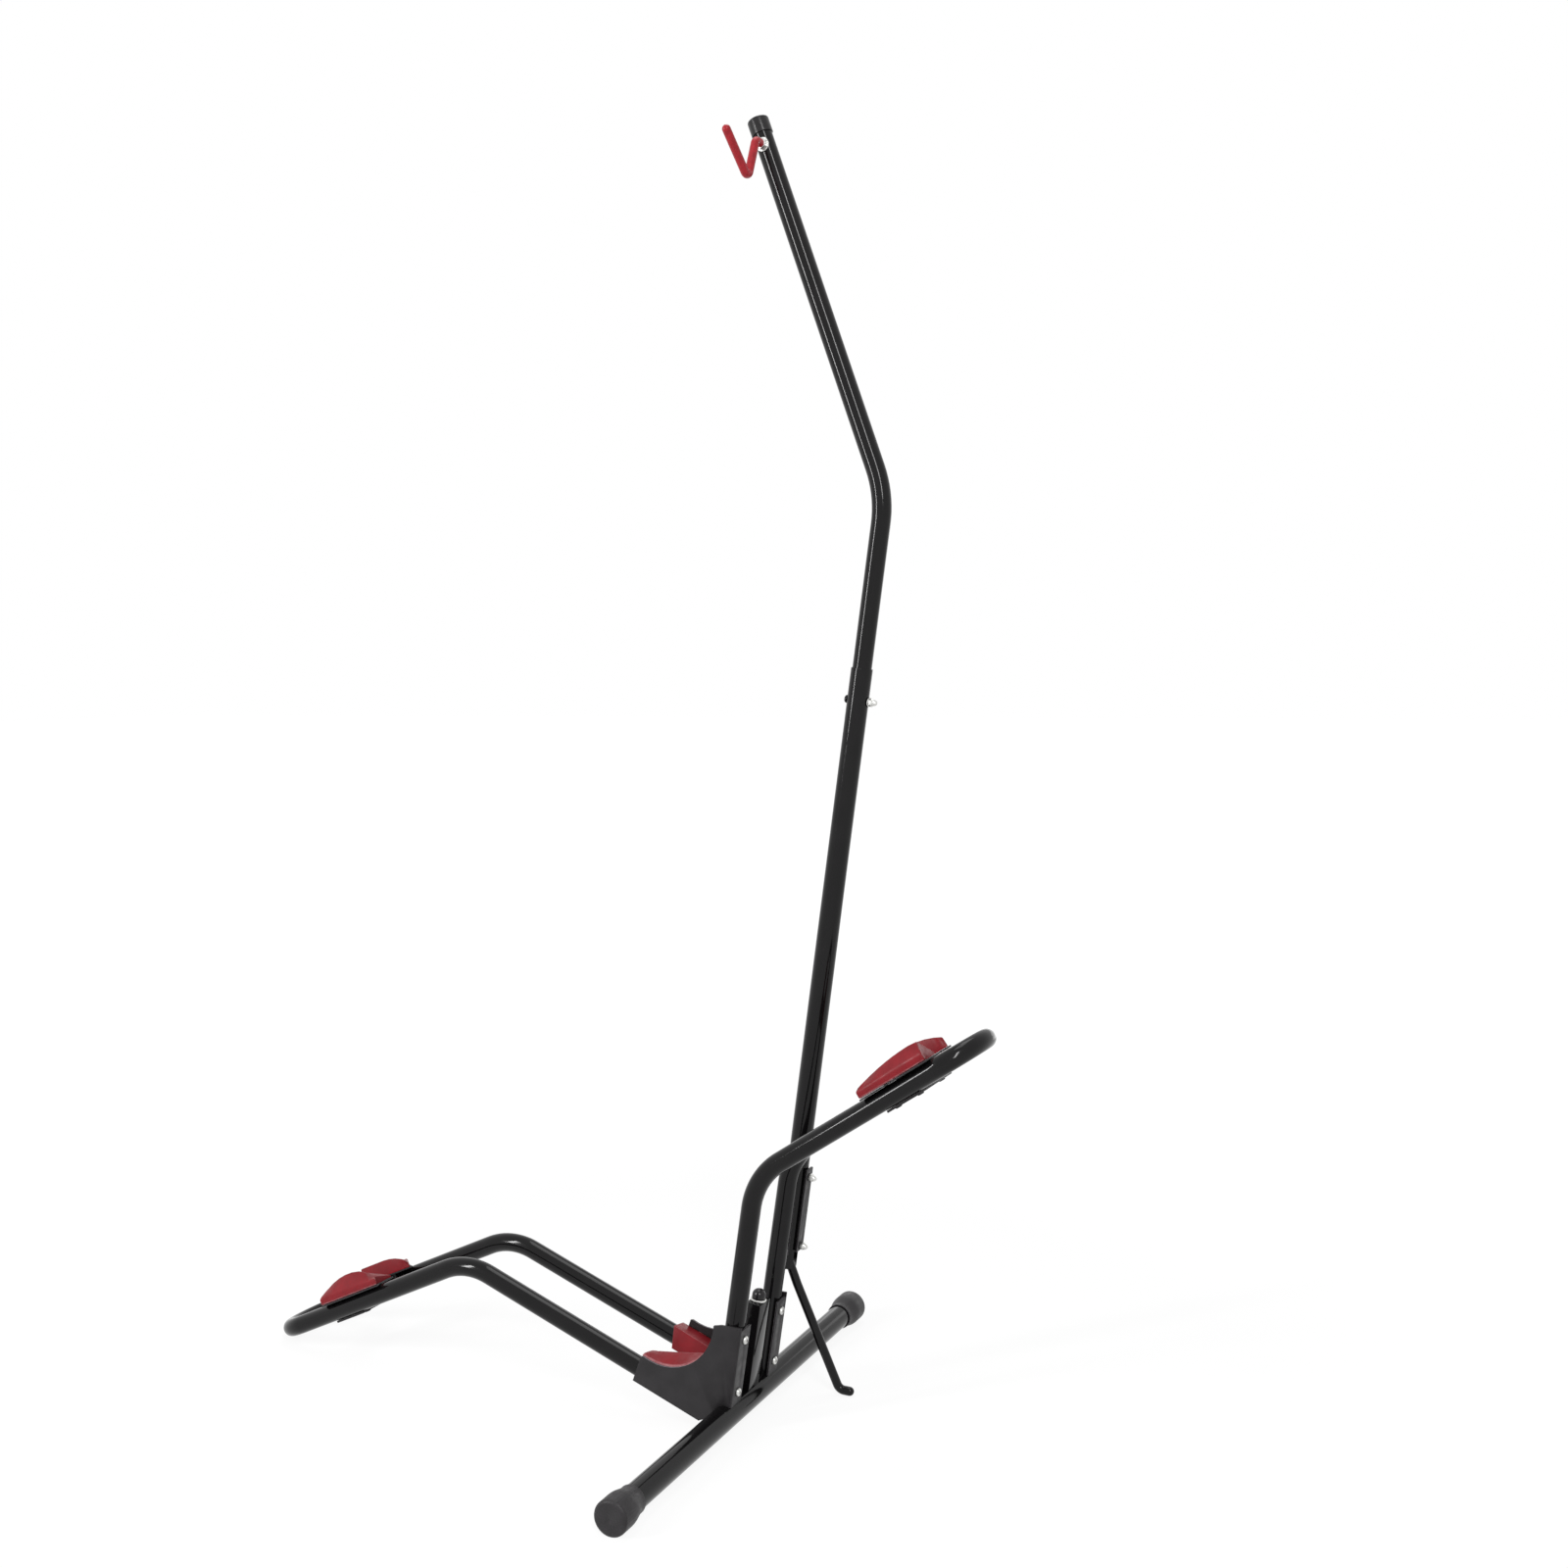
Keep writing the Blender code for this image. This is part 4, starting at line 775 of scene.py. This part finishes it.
class STAND_OT_crossbar(StandOperator, bpy.types.Operator):
    """Make the crossbar and its two flared plastic feet"""
    bl_idname = "stand.crossbar"
    bl_label = "Crossbar and feet"

    def make(self, sizes, colours):
        radius = sizes.bar_tube / 2
        low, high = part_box("crossbar")
        ends = [(BAR_AXIS.x, y, BAR_AXIS.z) for y in (low.y, high.y)]
        bm, first, last = pipe(ends, (), radius, sizes)
        close_ends(bm, (first, last))
        finish_piece(bm, "crossbar_tube", "black_enamel", colours, ["crossbar"])
        for name, side in (("crossbar_cap_near", -1), ("crossbar_cap_far", 1)):
            low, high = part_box(name)
            end = low.y if side < 0 else high.y
            place = facing((BAR_AXIS.x, end, BAR_AXIS.z), (0, -side, 0))
            bm = lathe(self.foot_profile(radius, high.y - low.y), 56, place)
            self.flatten_underneath(bm)
            finish_piece(bm, name + "_moulding", "dark_plastic", colours, [name])

    def foot_profile(self, radius, length):
        """A foot from the middle of its end face, over its barrel and flare, to its bore."""
        neck = radius + FOOT_NECK_WALL
        bore = radius + FOOT_PLAY
        crown = (FOOT_RADIUS, FOOT_CROWN)
        profile = [*FOOT_DIMPLE, *quarter(crown, (FOOT_FACE_RADIUS, 0.0), 6)[::-1], crown]
        for step in range(FOOT_FLARE_STEPS + 1):
            share = step / FOOT_FLARE_STEPS
            eased = share * share * (3 - 2 * share)
            height = FOOT_FLARE_FROM + (FOOT_FLARE_TO - FOOT_FLARE_FROM) * share
            profile.append((FOOT_RADIUS + (neck - FOOT_RADIUS) * eased, length * height))
        return profile + [(neck, length - FOOT_LIP), (neck - FOOT_LIP, length), (bore, length),
                          (bore, length - FOOT_BORE_SHOWN)]

    def flatten_underneath(self, bm):
        """Cuts off what would reach below the floor, and closes the cut."""
        everything = bm.verts[:] + bm.edges[:] + bm.faces[:]
        cut = bmesh.ops.bisect_plane(bm, geom=everything, plane_co=(0, 0, FOOT_ABOVE_GROUND),
                                     plane_no=(0, 0, -1), clear_outer=True)
        close_ends(bm, [edges_of(cut["geom_cut"])])


class STAND_OT_cheeks(StandOperator, bpy.types.Operator):
    """Fold the two cheek plates between the hoops"""
    bl_idname = "stand.cheeks"
    bl_label = "Cheek plates"

    def make(self, sizes, colours):
        for name in ("cheek_near", "cheek_far"):
            low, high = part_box(name)
            outer = max(abs(low.y), abs(high.y))
            # All the cheeks' edges, and their thin faces, are marked for the painted highlight along the
            # plates' edges
            bm = rounded_copy(name, sizes.cheek_edge, worn_and_highlit=faces_anywhere, thin_face=CHEEK_THIN_FACE,
                              fold=lambda edge: self.is_fold(edge, outer),
                              fold_radius=sizes.sheet_bend)
            finish_piece(bm, name + "_sheet", "dark_plate", colours, [name])

    def is_fold(self, edge, outer):
        """Whether an edge is the long outer one between a cheek's side and its rear flange."""
        first, second = (vert.co for vert in edge.verts)
        run = second - first
        outside = all(abs(abs(spot.y) - outer) < FOLD_SLACK for spot in (first, second))
        upright = abs(run.normalized().dot(LEG_UP)) > 0.99
        return outside and upright and run.length > FOLD_LENGTH and first.x > FOLD_BEHIND


class STAND_OT_pads(StandOperator, bpy.types.Operator):
    """Mould the red wheel pads and their backing plates"""
    bl_idname = "stand.pads"
    bl_label = "Wheel pads"

    def make(self, sizes, colours):
        for name in ("lower_pad_near", "lower_pad_far", "upper_pad_near", "upper_pad_far"):
            # Their lower edges are marked for the pale rim colour: partly rubbed wear, partly a painted
            # highlight
            bm = rounded_copy(name, sizes.pad_edge, segments=4)
            finish_piece(bm, name + "_moulding", "red_pad", colours, [name])
        for name in ("valley_pad_near", "valley_pad_far"):
            # Their upper edges that face -Y are marked for the pale rim colour: partly rubbed wear,
            # partly a painted highlight
            bm = rounded_copy(name, sizes.pad_edge, segments=4, merge=VALLEY_MERGE,
                              worn_and_highlit=faces_up_and_out)
            finish_piece(bm, name + "_moulding", "red_pad", colours, [name])
        for name in ("lower_backing_near", "lower_backing_far", "upper_backing_near",
                     "upper_backing_far"):
            bm = rounded_copy(name, sizes.plate_edge)
            finish_piece(bm, name + "_plate", "dark_plastic", colours, [name])


class STAND_OT_plates(StandOperator, bpy.types.Operator):
    """Make the clamp plates, the centre post and the mast's bracket and strip"""
    bl_idname = "stand.plates"
    bl_label = "Plates and post"

    def make(self, sizes, colours):
        for name in ("lower_clamp_plate", "upper_clamp_plate", "mast_bracket", "mast_strip"):
            # Their lower edges are marked for the painted highlight of the satin coat
            bm = rounded_copy(name, sizes.plate_edge)
            finish_piece(bm, name + "_sheet", "dark_plate", colours, [name])
        bm = rounded_copy("centre_post", 2 * sizes.plate_edge)
        finish_piece(bm, "centre_post_tube", "black_enamel", colours, ["centre_post"])


class STAND_OT_knob(StandOperator, bpy.types.Operator):
    """Turn the round knob on the centre post and its collar"""
    bl_idname = "stand.knob"
    bl_label = "Knob"

    def make(self, sizes, colours):
        place, size = along("post_knob", LEG_UP)
        shoulder = (KNOB_RADIUS, KNOB_NECK_HEIGHT + (size.z - KNOB_NECK_HEIGHT) * KNOB_STRAIGHT)
        profile = [(0.0, 0.0), (KNOB_NECK_RADIUS, 0.0), (KNOB_NECK_RADIUS, KNOB_NECK_HEIGHT),
                   (KNOB_RADIUS - KNOB_EDGE, KNOB_NECK_HEIGHT),
                   (KNOB_RADIUS, KNOB_NECK_HEIGHT + KNOB_EDGE), shoulder]
        bm = turned(profile + quarter(shoulder, (0.0, size.z), 10), 40, place)
        finish_piece(bm, "post_knob_turned", "gloss_plastic", colours, ["post_knob"])
        bm = washer_mesh("post_collar", LEG_UP, WASHER_BORE)
        finish_piece(bm, "post_collar_ring", "bright_steel", colours, ["post_collar"])


class STAND_OT_mast(StandOperator, bpy.types.Operator):
    """Make the two tubes of the mast and the cap on its top"""
    bl_idname = "stand.mast"
    bl_label = "Mast"

    def make(self, sizes, colours):
        self.make_lower_tube(sizes, colours)
        self.make_upper_tube(sizes, colours)
        self.make_cap(colours)

    def make_lower_tube(self, sizes, colours):
        radius = sizes.mast_tube / 2
        up = MAST_FRAME.to_3x3() @ Vector((0, 0, 1))
        ends = [MAST_FRAME @ Vector((0, 0, height)) for height in (MAST_BOTTOM, MAST_JOINT)]
        bm, first, last = pipe(ends, (), radius, sizes)
        top = open_end(bm, last, -up, radius, sizes.mast_wall, JOINT_BORE_SHOWN)
        bottom = open_end(bm, first, up, radius, sizes.mast_wall, FOOT_OF_MAST_BORE)
        close_ends(bm, (top, bottom))
        half = KICK_SLOT_WIDTH / 2
        slot = block((radius / 2, -half, MAST_BOTTOM - CUTTER_SPARE),
                     (radius + CUTTER_SPARE, half, KICK_SLOT_TOP), MAST_FRAME)
        finish_piece(carve(bm, [slot]), "mast_lower_tube", "black_enamel", colours, ["mast_lower"])

    def make_upper_tube(self, sizes, colours):
        radius = sizes.head_tube / 2
        corners = [MAST_FRAME @ Vector((0, 0, MAST_JOINT - MAST_OVERLAP)),
                   MAST_FRAME @ Vector((0, 0, MAST_BEND_AT)),
                   HEAD_FRAME @ Vector((0, 0, MAST_HEAD - CAP_ROOF))]
        bm, first, last = pipe(corners, (sizes.mast_bend,), radius, sizes)
        close_ends(bm, (first, last))
        half = CLAMP_SLOT_WIDTH / 2
        slots = [block((side * (radius - CLAMP_SLOT_DEPTH), -half, CLAMP_AT - CLAMP_SLOT_BELOW),
                       (side * (radius + CUTTER_SPARE), half, CLAMP_AT + CLAMP_SLOT_ABOVE),
                       MAST_FRAME) for side in (-1, 1)]
        finish_piece(carve(bm, slots), "mast_upper_tube", "black_enamel", colours, ["mast_upper"],
                     body="mast_top")

    def make_cap(self, colours):
        top = MAST_HEAD - CAP_LOWERED
        bottom = MAST_HEAD - CAP_LENGTH
        shoulder = (CAP_RADIUS, top - CAP_CROWN)
        profile = [(CAP_BORE_RADIUS, bottom + CAP_BORE_SHOWN), (CAP_BORE_RADIUS, bottom),
                   (CAP_RADIUS - CAP_RIM, bottom), (CAP_RADIUS, bottom + CAP_RIM), shoulder,
                   *quarter(shoulder, (CAP_RADIUS - CAP_CROWN, top), 8), (0.0, top)]
        finish_piece(turned(profile, 48, HEAD_FRAME), "mast_cap_moulding", "gloss_plastic", colours,
                     ["mast_cap"], body="mast_top")


class STAND_OT_hook(StandOperator, bpy.types.Operator):
    """Bend the red hook and screw it to the mast"""
    bl_idname = "stand.hook"
    bl_label = "Hook"

    def make(self, sizes, colours):
        radius = sizes.hook_rod / 2
        corners = [HOOK_AT + Vector(spot) for spot in HOOK_ROUTE]
        bm, first, last = pipe(corners, HOOK_BENDS, radius, sizes)
        dome(bm, last, (corners[-1] - corners[-2]).normalized(), radius)
        collar = drag(bm, first, -NEAR_AXIS * COATING_EDGE, 0.9)
        close_ends(bm, [drag(bm, collar, Vector(), 0.8)])
        finish_piece(bm, "hook_rod", "red_coating", colours, ["hook"], body="mast_top")
        place = facing(HOOK_AT - NEAR_AXIS * HOOK_SHOULDER, -NEAR_AXIS)
        bm = turned(self.stud_profile(STUD_END - HOOK_SHOULDER), 28, place)
        finish_piece(bm, "hook_stud", "bright_steel", colours, [], body="mast_top")
        for side, axis in (("near", NEAR_AXIS), ("far", -NEAR_AXIS)):
            name = "hook_washer_" + side
            bm = washer_mesh(name, axis, HOOK_WASHER_BORE)
            finish_piece(bm, name + "_ring", "bright_steel", colours, [name], body="mast_top")
            name = "hook_nut_" + side
            bm = nut_mesh(name, axis, **HOOK_NUT)
            finish_piece(bm, name + "_hex", "bright_steel", colours, [name], body="mast_top")

    def stud_profile(self, length):
        root = STUD_RADIUS - THREAD_DEPTH
        profile = [(0.0, 0.0)]
        for turn in range(int(length / THREAD_PITCH)):
            height = THREAD_PITCH * turn
            profile += [(root, height), (STUD_RADIUS, height + THREAD_RISE)]
        return profile + [(root, length), (0.0, length)]


class STAND_OT_kickstand(StandOperator, bpy.types.Operator):
    """Bend the kickstand's rod and make its pin and bushes"""
    bl_idname = "stand.kickstand"
    bl_label = "Kickstand"

    def make(self, sizes, colours):
        radius = sizes.kick_rod / 2
        corners = [KICK_PIVOT + Vector(spot) for spot in KICK_ROUTE]
        bm, first, last = pipe(corners, KICK_BENDS, radius, sizes)
        dome(bm, first, (corners[0] - corners[1]).normalized(), radius)
        dome(bm, last, (corners[-1] - corners[-2]).normalized(), radius)
        bmesh.ops.recalc_face_normals(bm, faces=bm.faces)
        finish_piece(bm, "kickstand_rod", "black_enamel", colours, ["kickstand"], body="kickstand")
        place, size = along("kickstand_pin", NEAR_AXIS)
        bm = turned(self.pin_profile(size.z), 32, place)
        finish_piece(bm, "kickstand_pin_rivet", "bright_steel", colours, ["kickstand_pin"])
        for side in ("near", "far"):
            name = "kickstand_bush_" + side
            bm = rounded_copy(name, BUSH_EDGE, segments=2)
            finish_piece(bm, name + "_sleeve", "dark_plastic", colours, [name])

    def pin_profile(self, length):
        seat = length - RIVET_HEIGHT
        return [(0.0, 0.0), (PIN_RADIUS - PIN_EDGE, 0.0), (PIN_RADIUS, PIN_EDGE), (PIN_RADIUS, seat),
                (RIVET_RADIUS - PIN_EDGE / 2, seat), (RIVET_RADIUS, seat + PIN_EDGE / 2),
                (RIVET_RADIUS - PIN_EDGE, seat + 2 * PIN_EDGE), (PIN_RADIUS, length), (0.0, length)]


class STAND_OT_fasteners(StandOperator, bpy.types.Operator):
    """Make the bolts, nuts, screws and washers"""
    bl_idname = "stand.fasteners"
    bl_label = "Fasteners"

    def make(self, sizes, colours):
        for side in ("near", "far"):
            for level in ("low", "high"):
                name = f"cheek_bolt_{side}_{level}"
                bm = screw_mesh(name, LEG_AXIS, **BOLT)
                finish_piece(bm, name + "_screw", "bright_steel", colours, [name])
                name = f"cheek_nut_{side}_{level}"
                bm = nut_mesh(name, -LEG_AXIS, **BOLT_NUT)
                finish_piece(bm, name + "_hex", "bright_steel", colours, [name])
            for hoop, axis in (("lower", LOWER_SCREW_AXIS), ("upper", UPPER_SCREW_AXIS)):
                for end in ("front", "rear"):
                    name = f"{hoop}_screw_{side}_{end}"
                    bm = screw_mesh(name, axis, **PAD_SCREW)
                    finish_piece(bm, name + "_screw", "black_screw", colours, [name])
        for level in ("low", "high"):
            name = "mast_bolt_" + level
            bm = screw_mesh(name, -MAST_AXIS, **BOLT)
            finish_piece(bm, name + "_screw", "bright_steel", colours, [name])
            name = "mast_nut_" + level
            bm = nut_mesh(name, MAST_AXIS, **BOLT_NUT, domed=True)
            finish_piece(bm, name + "_cap", "bright_steel", colours, [name])
        bm = screw_mesh("clamp_bolt", -MAST_AXIS, **BOLT)
        finish_piece(bm, "clamp_bolt_screw", "black_screw", colours, ["clamp_bolt"])
        bm = washer_mesh("clamp_washer", MAST_AXIS, WASHER_BORE)
        finish_piece(bm, "clamp_washer_ring", "bright_steel", colours, ["clamp_washer"])
        bm = nut_mesh("clamp_nut", MAST_AXIS, **BOLT_NUT, domed=True)
        finish_piece(bm, "clamp_nut_cap", "bright_steel", colours, ["clamp_nut"], body="clamp_nut")


class STAND_OT_stage(bpy.types.Operator):
    """Set the pale floor, the soft lamps and the camera"""
    bl_idname = "stand.stage"
    bl_label = "Stage"

    def execute(self, context):
        scene = context.scene
        scene.view_settings.view_transform = "Standard"
        self.lay_floor(scene, scene.stand_stage)
        self.set_surroundings(scene, scene.stand_stage)
        self.hang_lamps(scene, scene.stand_stage)
        self.set_camera(scene)
        return {"FINISHED"}

    def seen_rays(self, tree):
        """1 for the rays that see the background: camera, glossy and transmission rays."""
        ray = node(tree, "ShaderNodeLightPath").outputs
        direct = node(tree, "ShaderNodeMath", {0: ray["Is Camera Ray"], 1: ray["Is Glossy Ray"]},
                      operation="MAXIMUM").outputs[0]
        return node(tree, "ShaderNodeMath", {0: direct, 1: ray["Is Transmission Ray"]},
                    operation="MAXIMUM").outputs[0]

    def lay_floor(self, scene, stage):
        """A matt floor that the rays which see it find nearly white, with the stand's shadow."""
        made = bpy.data.materials.new("studio_floor")
        made.use_nodes = True
        tree = made.node_tree
        tree.nodes.clear()
        matt = node(tree, "ShaderNodeBsdfDiffuse", {"Color": rgba(stage.floor)})
        glow = node(tree, "ShaderNodeEmission", {"Color": (1, 1, 1, 1),
                                                 "Strength": stage.background * stage.lift})
        place = node(tree, "ShaderNodeTexCoord").outputs["Object"]
        distance = node(tree, "ShaderNodeVectorMath", {0: place}, operation="LENGTH").outputs["Value"]
        clear = node(tree, "ShaderNodeMapRange", {"Value": distance, "From Min": SHADOWS_TO,
                                                  "From Max": WHITE_FROM, "To Min": GLOW_AT_STAND,
                                                  "To Max": 1.0})
        share = node(tree, "ShaderNodeMath", {0: self.seen_rays(tree), 1: clear.outputs[0]},
                     operation="MULTIPLY")
        mixed = node(tree, "ShaderNodeMixShader", {0: share.outputs[0], 1: matt.outputs[0],
                                                   2: glow.outputs[0]})
        node(tree, "ShaderNodeOutputMaterial", {"Surface": mixed.outputs[0]})
        bm = bmesh.new()
        bmesh.ops.create_grid(bm, x_segments=1, y_segments=1, size=FLOOR_REACH)
        mesh = bpy.data.meshes.new("floor")
        bm.to_mesh(mesh)
        bm.free()
        mesh.materials.append(made)
        floor = bpy.data.objects.new("floor", mesh)
        scene.collection.objects.link(floor)
        floor.location = (0, 0, -FLOOR_BELOW)

    def set_surroundings(self, scene, stage):
        """A plain world: white where it is seen, and a soft fill light otherwise."""
        world = bpy.data.worlds.new("studio")
        scene.world = world
        world.use_nodes = True
        tree = world.node_tree
        tree.nodes.clear()
        strength = node(tree, "ShaderNodeMapRange", {"Value": self.seen_rays(tree),
                                                     "To Min": stage.fill,
                                                     "To Max": stage.background})
        sky = node(tree, "ShaderNodeBackground", {"Color": (1, 1, 1, 1),
                                                  "Strength": strength.outputs[0]})
        node(tree, "ShaderNodeOutputWorld", {"Surface": sky.outputs[0]})

    def hang_lamps(self, scene, stage):
        for name, (spot, target, width, height, share) in LAMPS.items():
            lamp = bpy.data.lights.new(name, "AREA")
            lamp.shape = "RECTANGLE"
            lamp.size = width
            lamp.size_y = height
            lamp.energy = stage.key * share
            holder = bpy.data.objects.new(name, lamp)
            scene.collection.objects.link(holder)
            holder.location = spot
            holder.visible_camera = False
            aim = Vector(target) - Vector(spot)
            holder.rotation_euler = aim.to_track_quat("-Z", "Y").to_euler()

    def set_camera(self, scene):
        camera = bpy.data.objects.new("camera", bpy.data.cameras.new("camera"))
        scene.collection.objects.link(camera)
        up = CAMERA_RIGHT.cross(CAMERA_AHEAD)
        turn = Matrix((CAMERA_RIGHT, up, -CAMERA_AHEAD)).transposed().to_4x4()
        camera.matrix_world = Matrix.Translation(CAMERA_AT) @ turn
        camera.data.sensor_width = CAMERA_SENSOR
        camera.data.lens = CAMERA_LENS
        scene.camera = camera


class STAND_PT_panel(bpy.types.Panel):
    """Sizes, colours and steps of the bike stand"""
    bl_idname = "STAND_PT_panel"
    bl_label = "Bike Stand"
    bl_space_type = "VIEW_3D"
    bl_region_type = "UI"
    bl_category = "Bike Stand"

    def draw(self, context):
        for group in (context.scene.stand_sizes, context.scene.stand_colours, context.scene.stand_stage):
            box = self.layout.box()
            for name in group.__annotations__:
                box.prop(group, name)
        for operator in OPERATORS:
            self.layout.operator(operator.bl_idname)


OPERATORS = (STAND_OT_hoops, STAND_OT_crossbar, STAND_OT_cheeks, STAND_OT_pads, STAND_OT_plates,
             STAND_OT_knob, STAND_OT_mast, STAND_OT_hook, STAND_OT_kickstand, STAND_OT_fasteners,
             STAND_OT_stage)
CLASSES = (StandColours, StandSizes, StandStage) + OPERATORS + (STAND_PT_panel,)


def register():
    for item in CLASSES:
        bpy.utils.register_class(item)
    bpy.types.Scene.stand_colours = bpy.props.PointerProperty(type=StandColours)
    bpy.types.Scene.stand_sizes = bpy.props.PointerProperty(type=StandSizes)
    bpy.types.Scene.stand_stage = bpy.props.PointerProperty(type=StandStage)


def unregister():
    del bpy.types.Scene.stand_stage
    del bpy.types.Scene.stand_sizes
    del bpy.types.Scene.stand_colours
    for item in reversed(CLASSES):
        bpy.utils.unregister_class(item)


def main():
    register()
    bpy.ops.stand.hoops()
    bpy.ops.stand.crossbar()
    bpy.ops.stand.cheeks()
    bpy.ops.stand.pads()
    bpy.ops.stand.plates()
    bpy.ops.stand.knob()
    bpy.ops.stand.mast()
    bpy.ops.stand.hook()
    bpy.ops.stand.kickstand()
    bpy.ops.stand.fasteners()
    bpy.ops.stand.stage()


if __name__ == "__main__":
    main()
